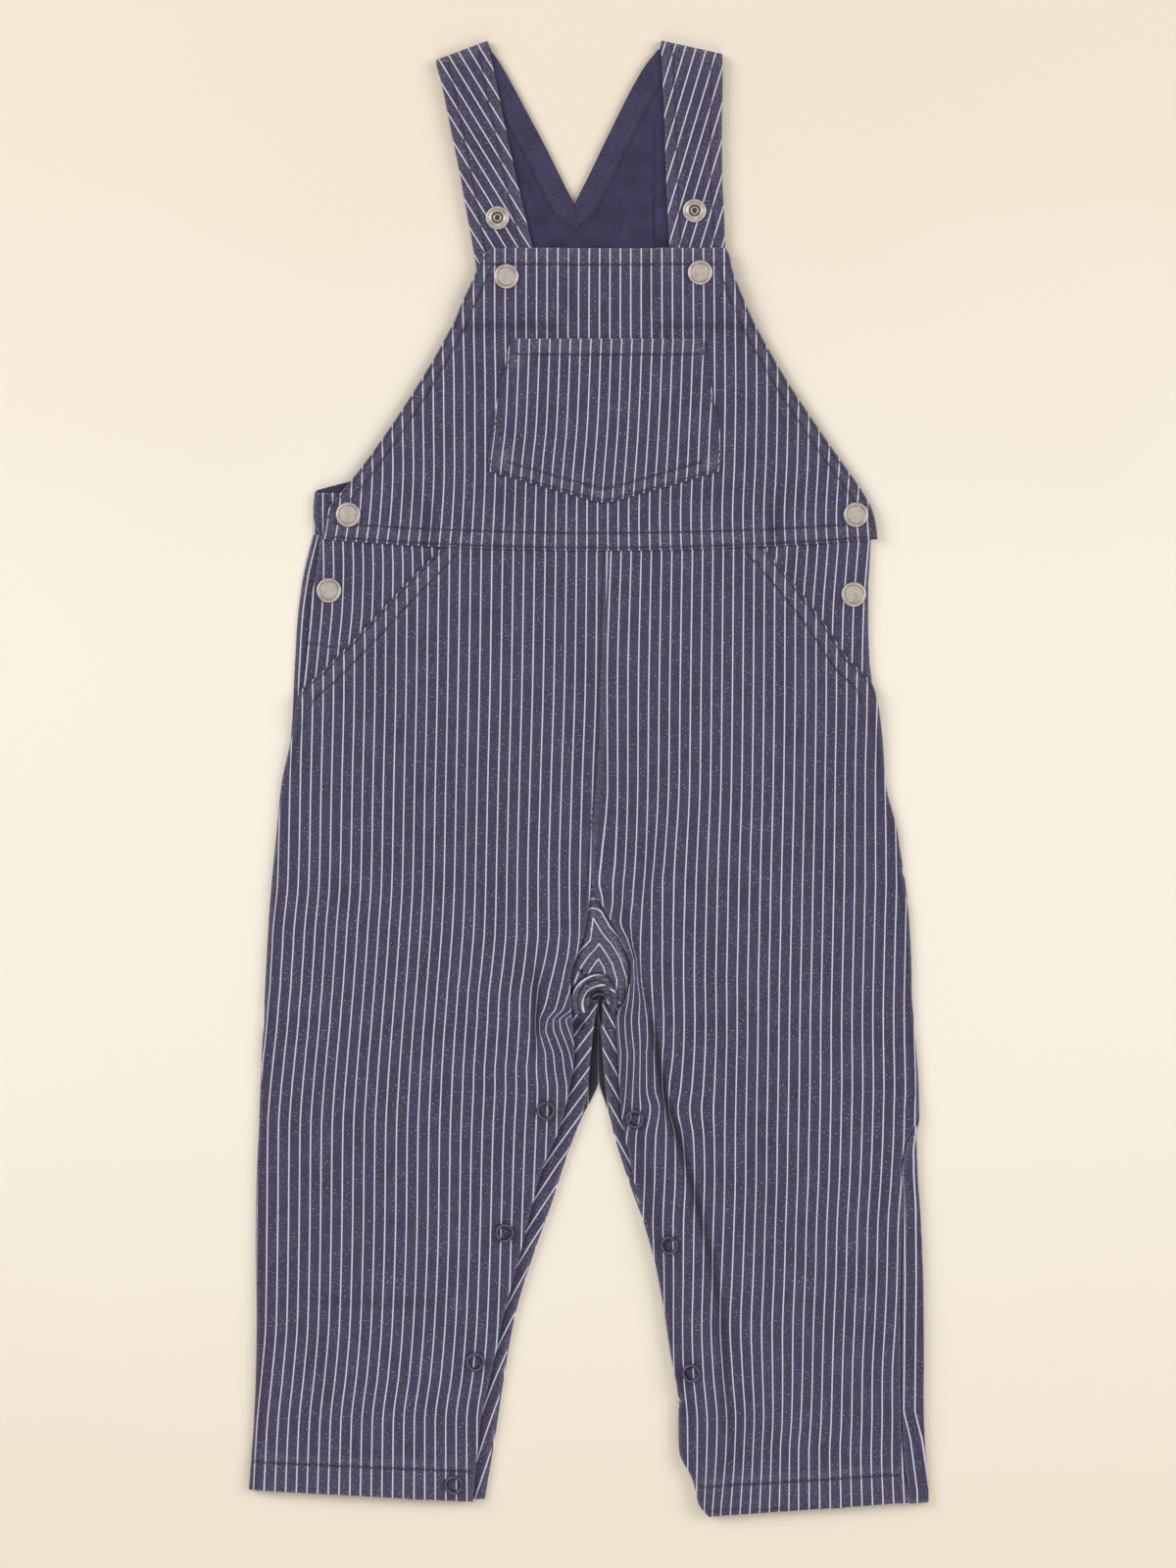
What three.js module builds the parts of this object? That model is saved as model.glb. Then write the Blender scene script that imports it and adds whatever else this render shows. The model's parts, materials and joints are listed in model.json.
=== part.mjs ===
// A small child's striped dungarees, laid flat with the front up.
// Millimetres. +X is right and +Y is up as seen from above, +Z rises from the
// surface that the back panels lie on. The origin is on that surface, in the
// middle of the outline. Left and right are as seen from above.
//
// Each piece that is cut and sewn is one wall of cloth, built from a table of
// sections. A section is one line across the piece, at the height y.

import * as THREE from 'three';
import { mergeVertices } from 'three/addons/utils/BufferGeometryUtils.js';

// Cloth, and how the layers lie on each other
const CLOTH = 1.2;
const GAP = 0.3;
const LAYER = CLOTH + GAP;
const SEAM_GAP = 0.4;
const level = (number) => CLOTH / 2 + number * LAYER;

// Front panels: roll of the side edges, turned hem and top of the slant pockets
const EDGE_ROLL = 9;
const HEM_DEPTH = 14;
const HEM_EXTRA = 0.8;
const HEM_STEP = 0.8;

// Shoulder folds and the right side edge, where the back turns to the front
const FOLD_RADIUS = LAYER;
const FOLD_STEPS = 5;
const EDGE_STRIP = 6; // width that takes the fold's points where the edge isn't turned
const SHOULDER_Y = 336.3;

// The bib: where it climbs over the straps and over the waist seam
const BIB_CLIMB = 8;
const BIB_MIDDLE_X = 6;
const STRAP_END_Y = 217;
const STRAP_L_OUTER_X = -56;
const STRAP_L_INNER_X = -16;
const STRAP_R_INNER_X = 34;
const CLIMB_GAP = 3; // the climb ends this far below the straps' ends
const WAIST_TOP_Y = 113.5;
const WAIST_SIDE_RISE = 13.5; // how much higher the climb starts at the two sides
const WAIST_SIDE_X = 85;
const LINING_INSET = 1.5;
const LINING_STEP_Y = 131.3; // the left lining stops above the hip facing
const LINING_STEP_X = -105;

// Snaps
const CAP_RADIUS = 5.7;
const SOCKET_RADIUS = 5.4;
const RING_RADIUS = 4.1;
const RING_HOLE = 2.5;
const RING_LIFT = 0.2; // over cloth that curves under the ring
const ROUND_SIDES = 16;

// Sections of the front panels. lie is 1 where the outer edge is a layer up,
// drop is how much lower the inner end of a section is than its outer end.
const FRONT_LEG_L = [
  { y: 111.6, outer: -62.1, inner: 8.7, drop: 0, lie: 1 },
  { y: 105.3, outer: -68, inner: 8.6, drop: 0, lie: 1 },
  { y: 87.3, outer: -85.5, inner: 8.1, drop: 0, lie: 1 },
  { y: 69.3, outer: -102.2, inner: 7.3, drop: 0, lie: 1 },
  { y: 51.3, outer: -119.7, inner: 6.7, drop: 0, lie: 1 },
  { y: 36.9, outer: -133.7, inner: 6.3, drop: 0, lie: 1 },
  { y: 19.8, outer: -136.1, inner: 5.8, drop: 0, lie: 0.3 },
  { y: -2.7, outer: -140.6, inner: 4.5, drop: 0, lie: 0 },
  { y: -25.2, outer: -142.9, inner: 2.7, drop: 0, lie: 0 },
  { y: -47.7, outer: -145.1, inner: 1, drop: 0, lie: 0 },
  { y: -70.2, outer: -146.5, inner: -2.2, drop: 0, lie: 0 },
  { y: -81.5, outer: -147.4, inner: -5.9, drop: 0, lie: 0 },
  { y: -92.7, outer: -148, inner: -8.6, drop: 0, lie: 0 },
  { y: -110.7, outer: -148.8, inner: -7.7, drop: 0, lie: 0 },
  { y: -126.5, outer: -150, inner: -6.8, drop: 0, lie: 0 },
  { y: -142.2, outer: -150.3, inner: -9, drop: 0, lie: 0 },
  { y: -160.2, outer: -151, inner: -13.5, drop: 0, lie: 0 },
  { y: -178.2, outer: -151.9, inner: -21.2, drop: 0, lie: 0 },
  { y: -200.7, outer: -152.4, inner: -27.4, drop: 0, lie: 0 },
  { y: -223.2, outer: -152.5, inner: -32.9, drop: 0, lie: 0 },
  { y: -245.7, outer: -152.1, inner: -39.1, drop: 0, lie: 0 },
  { y: -268.2, outer: -152.4, inner: -44.1, drop: 1.4, lie: 0 },
  { y: -290.7, outer: -153.4, inner: -49.5, drop: 3.1, lie: 0 },
  { y: -326.2, outer: -155.9, inner: -53.3, drop: 5.4, lie: 0 },
];
const FRONT_LEG_R = [
  { y: 111.6, outer: 73.4, inner: 8.7, drop: 0, lie: 1 },
  { y: 107.1, outer: 78.3, inner: 8.6, drop: 0, lie: 1 },
  { y: 87.3, outer: 95.4, inner: 8.1, drop: 0, lie: 1 },
  { y: 69.3, outer: 109.1, inner: 7.3, drop: 0, lie: 1 },
  { y: 55.8, outer: 117.9, inner: 6.8, drop: 0, lie: 1 },
  { y: 41.4, outer: 130.6, inner: 6.4, drop: 0, lie: 1 },
  { y: 19.8, outer: 134.4, inner: 5.8, drop: 0, lie: 0.3 },
  { y: -2.7, outer: 136.1, inner: 4.5, drop: 0, lie: 0 },
  { y: -25.2, outer: 141.6, inner: 2.7, drop: 0, lie: 0 },
  { y: -47.7, outer: 144.3, inner: 1.3, drop: 0, lie: 0 },
  { y: -61.2, outer: 146.5, inner: 7.7, drop: 0, lie: 0 },
  { y: -74.7, outer: 147.4, inner: 15.3, drop: 0, lie: 0 },
  { y: -88.2, outer: 147.9, inner: 19.4, drop: 0, lie: 0 },
  { y: -99, outer: 148, inner: 17.6, drop: 0, lie: 0 },
  { y: -110.7, outer: 148.9, inner: 12.2, drop: 0, lie: 0 },
  { y: -126.5, outer: 149.6, inner: 13.1, drop: 0, lie: 0 },
  { y: -142.2, outer: 149.9, inner: 14, drop: 0, lie: 0 },
  { y: -158.5, outer: 149.4, inner: 15.3, drop: 0, lie: 0 },
  { y: -166.5, outer: 142.8, inner: 17, drop: 0, lie: 1 },
  { y: -178.2, outer: 143.2, inner: 19.4, drop: 0, lie: 1 },
  { y: -198.5, outer: 144, inner: 23.9, drop: 0, lie: 1 },
  { y: -223.2, outer: 143.1, inner: 30.6, drop: 0, lie: 1 },
  { y: -245.7, outer: 142.8, inner: 34.6, drop: 0, lie: 1 },
  { y: -268.2, outer: 142.8, inner: 38.2, drop: 0, lie: 1 },
  { y: -290.7, outer: 143, inner: 41, drop: 1.4, lie: 1 },
  { y: -308.7, outer: 143.6, inner: 42.3, drop: 4.5, lie: 1 },
  { y: -332, outer: 146.5, inner: 54.9, drop: 6.4, lie: 1 },
];

// Sections of the back panels. turn is how far the panel's outer edge comes
// round to the front.
const BACK_LEG_L = [
  { y: 111.6, outer: -126.5, inner: -0.4, drop: 0 },
  { y: 91.8, outer: -131.2, inner: 0.1, drop: 0 },
  { y: 72.9, outer: -133.7, inner: 0.6, drop: 0 },
  { y: 49.1, outer: -135.1, inner: 1.1, drop: 0 },
  { y: 19.8, outer: -136.7, inner: 1.6, drop: 0 },
  { y: -2.7, outer: -141.1, inner: 2, drop: 0 },
  { y: -25.2, outer: -143.4, inner: 2.5, drop: 0 },
  { y: -60, outer: -146.6, inner: 3.2, drop: 0 },
  { y: -99, outer: -148.8, inner: 4.6, drop: 0 },
  { y: -116.1, outer: -149.6, inner: 2.2, drop: 0 },
  { y: -135.9, outer: -150.6, inner: 0.2, drop: 0 },
  { y: -147.2, outer: -151, inner: -0.9, drop: 0 },
  { y: -158.4, outer: -151.3, inner: -4.5, drop: 0 },
  { y: -173.7, outer: -152.1, inner: -10.3, drop: 0 },
  { y: -196.2, outer: -152.8, inner: -17.6, drop: 0 },
  { y: -216.9, outer: -152.9, inner: -25, drop: 0 },
  { y: -245.7, outer: -152.5, inner: -33.8, drop: 0 },
  { y: -273.6, outer: -152.9, inner: -39.1, drop: 1.4 },
  { y: -299.2, outer: -154, inner: -43.2, drop: 3.1 },
  { y: -326.2, outer: -156.1, inner: -47.7, drop: 3.6 },
];
const BACK_LEG_R = [
  { y: 111.6, outer: 130.1, inner: -0.4, drop: 0, turn: 0 },
  { y: 91.8, outer: 128.8, inner: 0.1, drop: 0, turn: 0 },
  { y: 72.9, outer: 128.7, inner: 0.6, drop: 0, turn: 0 },
  { y: 49.1, outer: 129.6, inner: 1.1, drop: 0, turn: 0 },
  { y: 19.8, outer: 134.9, inner: 1.6, drop: 0, turn: 0 },
  { y: -2.7, outer: 136.5, inner: 2, drop: 0, turn: 0 },
  { y: -25.2, outer: 142, inner: 2.5, drop: 0, turn: 0 },
  { y: -60, outer: 146.9, inner: 3.2, drop: 0, turn: 0 },
  { y: -99, outer: 148.6, inner: 4.6, drop: 0, turn: 0 },
  { y: -116.1, outer: 150.1, inner: 5.6, drop: 0, turn: 0 },
  { y: -135.9, outer: 150.8, inner: 7.2, drop: 0, turn: 0 },
  { y: -158.5, outer: 151.3, inner: 10.3, drop: 0, turn: 0 },
  { y: -166.5, outer: 151, inner: 12.3, drop: 0, turn: 1 },
  { y: -178.2, outer: 150.7, inner: 16, drop: 0, turn: 1 },
  { y: -198.5, outer: 151.9, inner: 23.4, drop: 0, turn: 1 },
  { y: -223.2, outer: 153.1, inner: 31.1, drop: 0, turn: 1 },
  { y: -245.7, outer: 153.6, inner: 35.1, drop: 0, turn: 1 },
  { y: -268.2, outer: 153.7, inner: 38.7, drop: 0, turn: 1 },
  { y: -290.7, outer: 153.6, inner: 41.4, drop: 1.4, turn: 1 },
  { y: -308.7, outer: 154.4, inner: 43.2, drop: 4.5, turn: 1 },
  { y: -332, outer: 156.1, inner: 55.7, drop: 6.4, turn: 1 },
];

// Sections of the back bib and of the strap cut in one with it. fall is how
// much lower the outer end of a section is than its inner end.
const BACK_BIB_L = [
  { y: 112, outer: -126.5, inner: -0.5, fall: 0 },
  { y: 123.3, outer: -126.5, inner: -0.9, fall: 0 },
  { y: 131.3, outer: -125.9, inner: -1.3, fall: 0 },
  { y: 136.8, outer: -108.4, inner: -1.6, fall: 0 },
  { y: 150.3, outer: -94.5, inner: -2, fall: 0 },
  { y: 172.8, outer: -78.5, inner: -2.9, fall: 0 },
  { y: 195.3, outer: -66, inner: -3.8, fall: 0 },
  { y: 217.8, outer: -56, inner: -5, fall: 0 },
  { y: 240.3, outer: -50.5, inner: -5.9, fall: 0 },
  { y: 263.7, outer: -50.1, inner: -7, fall: 0 },
  { y: 276.3, outer: -52.2, inner: -13.5, fall: 0 },
  { y: 289.8, outer: -55, inner: -20.2, fall: 1.8 },
  { y: 303.3, outer: -59, inner: -27.4, fall: 3.6 },
  { y: 316.8, outer: -64.1, inner: -34.6, fall: 5.4 },
  { y: 329.4, outer: -68.6, inner: -41.9, fall: 7.7 },
  { y: SHOULDER_Y, outer: -70, inner: -46, fall: 9 },
];
const BACK_BIB_R = [
  { y: 112, outer: 130.1, inner: -0.5, fall: 0 },
  { y: 123.3, outer: 127.5, inner: -0.9, fall: 0 },
  { y: 136.8, outer: 117.5, inner: -1.6, fall: 0 },
  { y: 154.8, outer: 105, inner: -2.2, fall: 0 },
  { y: 177.3, outer: 88, inner: -3.1, fall: 0 },
  { y: 199.8, outer: 74, inner: -4, fall: 0 },
  { y: 222.3, outer: 65, inner: -5, fall: 0 },
  { y: 244.8, outer: 61.5, inner: -5.9, fall: 0 },
  { y: 263.7, outer: 61, inner: -6.5, fall: 0 },
  { y: 276.3, outer: 60.2, inner: 0, fall: 0 },
  { y: 289.8, outer: 60, inner: 6.5, fall: 1.4 },
  { y: 303.3, outer: 60.2, inner: 13.1, fall: 2.7 },
  { y: 316.8, outer: 60.6, inner: 20, fall: 4 },
  { y: 329.4, outer: 60.9, inner: 27.8, fall: 5.4 },
  { y: SHOULDER_Y, outer: 61.2, inner: 33, fall: 6.3 },
];
const STRAP_L = [
  { y: SHOULDER_Y, outer: -70, inner: -46, fall: 9 },
  { y: 325, outer: -67.5, inner: -43.8, fall: 7.2 },
  { y: 302, outer: -63.5, inner: -39.1, fall: 4 },
  { y: 276, outer: -58.7, inner: -33.5, fall: 1.8 },
  { y: 259.7, outer: -56, inner: -29.7, fall: 0.9 },
  { y: 244, outer: -53.3, inner: -26.1, fall: 0 },
  { y: STRAP_END_Y, outer: -48.9, inner: -20.5, fall: 0 },
];
const STRAP_R = [
  { y: SHOULDER_Y, outer: 61.2, inner: 33, fall: 6.3 },
  { y: 325, outer: 61.3, inner: 33.5, fall: 5.2 },
  { y: 302, outer: 60.9, inner: 34.5, fall: 3 },
  { y: 276, outer: 61.1, inner: 35.3, fall: 1.4 },
  { y: 259.7, outer: 61.9, inner: 36, fall: 0.5 },
  { y: 244, outer: 62.4, inner: 36.9, fall: 0 },
  { y: STRAP_END_Y, outer: 63.4, inner: 38.2, fall: 0 },
];

// Sections of the front bib and its pocket. bow is how far the middle of a
// section hangs below its ends, point the same for a pointed edge.
const BIB = [
  { y: 242.8, left: -45.2, right: 62.3, bow: 0 },
  { y: 239.4, left: -48.8, right: 64.3, bow: 0 },
  { y: 233.6, left: -50.9, right: 65.4, bow: 0 },
  { y: 226.8, left: -53.9, right: 67.8, bow: 0 },
  { y: 217.8, left: -58.1, right: 71.5, bow: 0 },
  { y: 208.8, left: -61.9, right: 75.6, bow: 0 },
  { y: 204.5, left: -64.3, right: 77.9, bow: 0 },
  { y: 195.3, left: -69.3, right: 83, bow: 0 },
  { y: 181.8, left: -77.4, right: 90.9, bow: 0 },
  { y: 168.3, left: -86, right: 99.7, bow: 0 },
  { y: 154.8, left: -95.2, right: 108.9, bow: 0.5 },
  { y: 141.3, left: -105.1, right: 118.4, bow: 1.4 },
  { y: 131, left: -113.6, right: 125.4, bow: 2.8 },
  { y: 123.3, left: -119.3, right: 129.6, bow: 4 },
  { y: 116.5, left: -121.5, right: 131.4, bow: 5 },
  { y: 109.5, left: -122.3, right: 132.3, bow: 5.4 },
];
const POCKET = [
  { y: 201.2, left: -35.8, right: 52.9, point: 0 },
  { y: 193.9, left: -37.3, right: 53.6, point: 0 },
  { y: 193.2, left: -37.4, right: 53.7, point: 0 },
  { y: 175.5, left: -41.6, right: 56.7, point: 0.9 },
  { y: 157.1, left: -44.8, right: 60.1, point: 4.5 },
  { y: 145.8, left: -46.1, right: 60.8, point: 11.7 },
  { y: 140.4, left: -45.5, right: 59.7, point: 15.1 },
];

// Sections of the small pieces at the hips, the crotch and the inside legs
const HIP_L = [
  { y: 131, outer: -125.9, inner: -105.3 },
  { y: 121, outer: -126.3, inner: -105.3 },
  { y: 111.7, outer: -124, inner: -105.3 },
  { y: 111.2, outer: -123.7, inner: -55.4 },
  { y: 96.3, outer: -124.9, inner: -67 },
  { y: 83.2, outer: -127.2, inner: -79.7 },
  { y: 62.6, outer: -128.9, inner: -99 },
  { y: 46.8, outer: -130.7, inner: -113.9 },
  { y: 32.4, outer: -133.2, inner: -127.4 },
];
const HIP_R = [
  { y: 111.2, outer: 129.4, inner: 68 },
  { y: 96.3, outer: 128.6, inner: 79.2 },
  { y: 83.2, outer: 127.8, inner: 88.7 },
  { y: 62.6, outer: 128, inner: 104 },
  { y: 46.8, outer: 129.4, inner: 117.5 },
  { y: 34.2, outer: 131.8, inner: 127.4 },
];
const GUSSET = [
  { y: -50, outer: 0, inner: 3 },
  { y: -56.7, outer: -3, inner: 7 },
  { y: -68, outer: -7, inner: 15.4 },
  { y: -80.1, outer: -12, inner: 21.5 },
  { y: -92.7, outer: -14.5, inner: 24.5 },
  { y: -100.4, outer: -11, inner: 20.5 },
];
const PLACKET_L = [
  { y: -101.6, outer: -9, inner: 4.3 },
  { y: -116.1, outer: -10.3, inner: 2 },
  { y: -135.9, outer: -12.6, inner: 0 },
  { y: -147.2, outer: -14.4, inner: -1.1 },
  { y: -158.4, outer: -18.4, inner: -4.7 },
  { y: -173.7, outer: -24.8, inner: -10.5 },
  { y: -196.2, outer: -31.5, inner: -17.8 },
  { y: -216.9, outer: -39.1, inner: -25.2 },
  { y: -245.7, outer: -46.8, inner: -34 },
  { y: -273.6, outer: -52.6, inner: -39.4 },
  { y: -299.2, outer: -57.1, inner: -43.4 },
  { y: -326.5, outer: -60.6, inner: -47.9 },
];
const PLACKET_R = [
  { y: -101.6, outer: 18, inner: 6.2 },
  { y: -116.1, outer: 18, inner: 5.9 },
  { y: -135.9, outer: 19.8, inner: 7.4 },
  { y: -147.2, outer: 21.2, inner: 8.9 },
  { y: -158.4, outer: 22.9, inner: 10.6 },
  { y: -173.7, outer: 27.4, inner: 14.9 },
  { y: -198.5, outer: 35.6, inner: 23.9 },
  { y: -223.2, outer: 43.2, inner: 31.4 },
  { y: -245.7, outer: 47.2, inner: 35.4 },
  { y: -268.2, outer: 50.9, inner: 38.9 },
  { y: -290.7, outer: 53.6, inner: 41.8 },
  { y: -308.7, outer: 56, inner: 44 },
];

// Main folds, each a soft ridge that runs down its leg
const FOLD_RIGHT_INNER = [
  { y: -62, x: 22, width: 8, height: 0 },
  { y: -90, x: 24, width: 8, height: 1.4 },
  { y: -116, x: 23, width: 8, height: 2.6 },
  { y: -150, x: 27, width: 8, height: 3 },
  { y: -181, x: 36, width: 9, height: 3.2 },
  { y: -217, x: 44, width: 9, height: 3 },
  { y: -283, x: 53, width: 10, height: 2.6 },
  { y: -318, x: 56, width: 10, height: 0.8 },
  { y: -334, x: 57, width: 10, height: 0.4 },
];
const FOLD_RIGHT_OUTER = [
  { y: -70, x: 42, width: 12, height: 0 },
  { y: -116, x: 47, width: 14, height: 1.4 },
  { y: -158, x: 57, width: 15, height: 2.2 },
  { y: -217, x: 72, width: 17, height: 2.4 },
  { y: -283, x: 82, width: 18, height: 2 },
  { y: -334, x: 86, width: 18, height: 0.6 },
];
const FOLD_LEFT_INNER = [
  { y: -66, x: -7, width: 8, height: 0 },
  { y: -92, x: -12, width: 8, height: 1.6 },
  { y: -112, x: -15, width: 9, height: 1.8 },
  { y: -150, x: -26, width: 11, height: 0.7 },
  { y: -190, x: -36, width: 12, height: 0 },
];
const SWELL_LEFT = [
  { y: 100, x: -40, width: 40, height: 0 },
  { y: 20, x: -62, width: 45, height: 1 },
  { y: -120, x: -82, width: 42, height: 1.5 },
  { y: -240, x: -98, width: 38, height: 1.3 },
  { y: -330, x: -102, width: 40, height: 0.5 },
];
const SWELL_RIGHT = [
  { y: 100, x: 50, width: 40, height: 0 },
  { y: 20, x: 70, width: 42, height: 1 },
  { y: -100, x: 92, width: 34, height: 1.2 },
  { y: -240, x: 116, width: 22, height: 0.8 },
  { y: -334, x: 118, width: 20, height: 0.3 },
];
const FOLDS = [FOLD_RIGHT_INNER, FOLD_RIGHT_OUTER, FOLD_LEFT_INNER, SWELL_LEFT, SWELL_RIGHT];

// Where the snaps sit
const BIB_CAPS = [
  { name: 'cap_bib_l', x: -37.8, y: 229.5 },
  { name: 'cap_bib_r', x: 50.9, y: 231.3 },
  { name: 'cap_side_l', x: -110.2, y: 120.6 },
  { name: 'cap_side_r', x: 122.3, y: 120.6 },
];
const HIP_CAPS = [
  { name: 'cap_hip_l', x: -119.2, y: 86 },
  { name: 'cap_hip_r', x: 121.3, y: 84.2 },
];
const STRAP_SOCKETS = [
  { name: 'socket_strap_l', x: -41.9, y: 256.6 },
  { name: 'socket_strap_r', x: 48.4, y: 259.9 },
];
const LEG_RINGS = [
  { name: 'ring_leg_l1', x: -20.2, y: -152.1 },
  { name: 'ring_leg_l2', x: -38.7, y: -208.3 },
  { name: 'ring_leg_l3', x: -52.2, y: -267.3 },
  { name: 'ring_leg_l4', x: -62.1, y: -323.6 },
  { name: 'ring_leg_r1', x: 22.9, y: -155.7 },
  { name: 'ring_leg_r2', x: 38.7, y: -213.3 },
  { name: 'ring_leg_r3', x: 48.1, y: -271.8 },
];

// Colours and finishes
const STRIPED = new THREE.MeshStandardMaterial({ color: 0x56516a, roughness: 0.92, metalness: 0 });
const PLAIN = new THREE.MeshStandardMaterial({ color: 0x423e5a, roughness: 0.95, metalness: 0 });
const SILVER = new THREE.MeshStandardMaterial({ color: 0xb9b6b2, roughness: 0.4, metalness: 0.9 });
const NAVY_METAL = new THREE.MeshStandardMaterial({ color: 0x3b3a52, roughness: 0.45, metalness: 0.5 });

// A smooth step from 0 at the value from to 1 at the value to
function smooth(from, to, value) {
  const share = Math.min(1, Math.max(0, (value - from) / (to - from)));
  return share * share * (3 - 2 * share);
}

// The section of a table at the height y, between its two nearest rows
function sectionAt(table, y) {
  const last = table.length - 1;
  const next = Math.min(last, Math.max(1, table.findIndex((row) => row.y <= y)));
  const lower = y < table[last].y ? last : next;
  const [a, b] = [table[lower - 1], table[lower]];
  const share = Math.min(1, Math.max(0, (a.y - y) / (a.y - b.y)));
  const mix = (key) => a[key] + (b[key] - a[key]) * share;
  return Object.fromEntries(Object.keys(a).map((key) => [key, mix(key)]));
}

// A table with one more section at each of the given heights
function withSections(table, heights) {
  const added = heights.map((y) => sectionAt(table, y));
  return [...table, ...added].sort((a, b) => b.y - a.y);
}

// The height that the soft folds add at a place
function foldHeight(x, y) {
  let height = 0;
  for (const fold of FOLDS) {
    const inside = y < fold[0].y && y > fold[fold.length - 1].y;
    if (!inside) continue;
    const row = sectionAt(fold, y);
    height += row.height * Math.exp(-(((x - row.x) / row.width) ** 2));
  }
  return height;
}

// Middle heights of the layers that aren't flat
function frontLegHeight(x, y, row) {
  const rise = Math.max(smooth(0, EDGE_ROLL, Math.abs(x - row.outer)), row.lie);
  return level(1) + LAYER * rise + foldHeight(x, y);
}

function bibHeight(x, y) {
  const outsideL = smooth(STRAP_L_OUTER_X - BIB_CLIMB, STRAP_L_OUTER_X, x);
  const strapL = outsideL * smooth(STRAP_L_INNER_X + BIB_CLIMB, STRAP_L_INNER_X, x);
  const strapR = smooth(STRAP_R_INNER_X - BIB_CLIMB, STRAP_R_INNER_X, x);
  const climbEnd = STRAP_END_Y - CLIMB_GAP;
  const overStrap = (strapL + strapR) * smooth(climbEnd - BIB_CLIMB, climbEnd, y);
  const beside = smooth(WAIST_SIDE_X, WAIST_SIDE_X + BIB_CLIMB, Math.abs(x - BIB_MIDDLE_X));
  const waistTop = WAIST_TOP_Y + WAIST_SIDE_RISE * beside;
  const overWaist = smooth(waistTop + BIB_CLIMB, waistTop, y);
  return level(2) + LAYER * Math.max(overStrap, overWaist);
}

// A geometry with merged corners, no empty triangle and its faces out
function solid(geometry) {
  geometry.deleteAttribute('normal');
  geometry.deleteAttribute('uv');
  const merged = mergeVertices(geometry, 1e-4);
  const index = Array.from(merged.index.array);
  const point = (i) => new THREE.Vector3().fromBufferAttribute(merged.attributes.position, i);
  let kept = [];
  let volume = 0;
  for (let i = 0; i < index.length; i += 3) {
    const [a, b, c] = index.slice(i, i + 3);
    if (a === b || b === c || c === a) continue;
    kept.push(a, b, c);
    volume += point(a).dot(point(b).cross(point(c)));
  }
  if (volume < 0) kept = kept.reverse();
  merged.setIndex(kept);
  merged.computeVertexNormals();
  return merged;
}

// A wall of cloth around rows of middle points. above adds to the upper side.
function wall(mid, above = () => 0) {
  const rows = mid.length;
  const columns = mid[0].length;
  const normalAt = (i, j) => {
    const up = mid[Math.max(i - 1, 0)][j];
    const down = mid[Math.min(i + 1, rows - 1)][j];
    const before = mid[i][Math.max(j - 1, 0)];
    const after = mid[i][Math.min(j + 1, columns - 1)];
    const along = new THREE.Vector3().subVectors(up, down);
    return new THREE.Vector3().subVectors(after, before).cross(along).normalize();
  };
  const sign = Math.sign(normalAt(0, 1).z);
  const upper = [];
  const lower = [];
  for (let i = 0; i < rows; i += 1) {
    for (let j = 0; j < columns; j += 1) {
      const normal = normalAt(i, j).multiplyScalar(sign);
      const extra = above(mid[i][j]);
      upper.push(...mid[i][j].clone().addScaledVector(normal, CLOTH / 2 + extra));
      lower.push(...mid[i][j].clone().addScaledVector(normal, -CLOTH / 2));
    }
  }
  const count = rows * columns;
  const index = [];
  const quad = (a, b, c, d) => index.push(a, b, c, a, c, d);
  const at = (i, j) => i * columns + j;
  for (let i = 0; i + 1 < rows; i += 1) {
    for (let j = 0; j + 1 < columns; j += 1) {
      const [a, b, c, d] = [at(i, j), at(i, j + 1), at(i + 1, j + 1), at(i + 1, j)];
      quad(a, b, c, d);
      quad(count + a, count + d, count + c, count + b);
    }
    const end = columns - 1;
    quad(at(i, 0), at(i + 1, 0), count + at(i + 1, 0), count + at(i, 0));
    quad(at(i + 1, end), at(i, end), count + at(i, end), count + at(i + 1, end));
  }
  for (let j = 0; j + 1 < columns; j += 1) {
    const bottom = rows - 1;
    quad(at(0, j + 1), at(0, j), count + at(0, j), count + at(0, j + 1));
    quad(at(bottom, j), at(bottom, j + 1), count + at(bottom, j + 1), count + at(bottom, j));
  }
  const geometry = new THREE.BufferGeometry();
  geometry.setAttribute('position', new THREE.Float32BufferAttribute([...upper, ...lower], 3));
  geometry.setIndex(index);
  return solid(geometry);
}

// The middle points across one section, with their heights from a function
function across(row, columns, heightAt) {
  const points = [];
  for (let j = 0; j <= columns; j += 1) {
    const share = j / columns;
    const x = row.outer + (row.inner - row.outer) * share;
    const y = row.y - (row.drop ?? 0) * share - (row.fall ?? 0) * (1 - share);
    points.push(new THREE.Vector3(x, y, heightAt(x, y, row)));
  }
  return points;
}

function flatPiece(table, columns, layer) {
  return wall(table.map((row) => across(row, columns, () => level(layer))));
}

// A front panel, thicker where its hem is turned up
function frontLeg(table, columns) {
  const hemTop = table[table.length - 1].y + HEM_DEPTH;
  const rows = withSections(table, [hemTop, hemTop - HEM_STEP]);
  const mid = rows.map((row) => across(row, columns, frontLegHeight));
  const turned = mid.slice(rows.findIndex((row) => row.y <= hemTop - HEM_STEP)).flat();
  return wall(mid, (point) => (turned.includes(point) ? HEM_EXTRA : 0));
}

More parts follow.
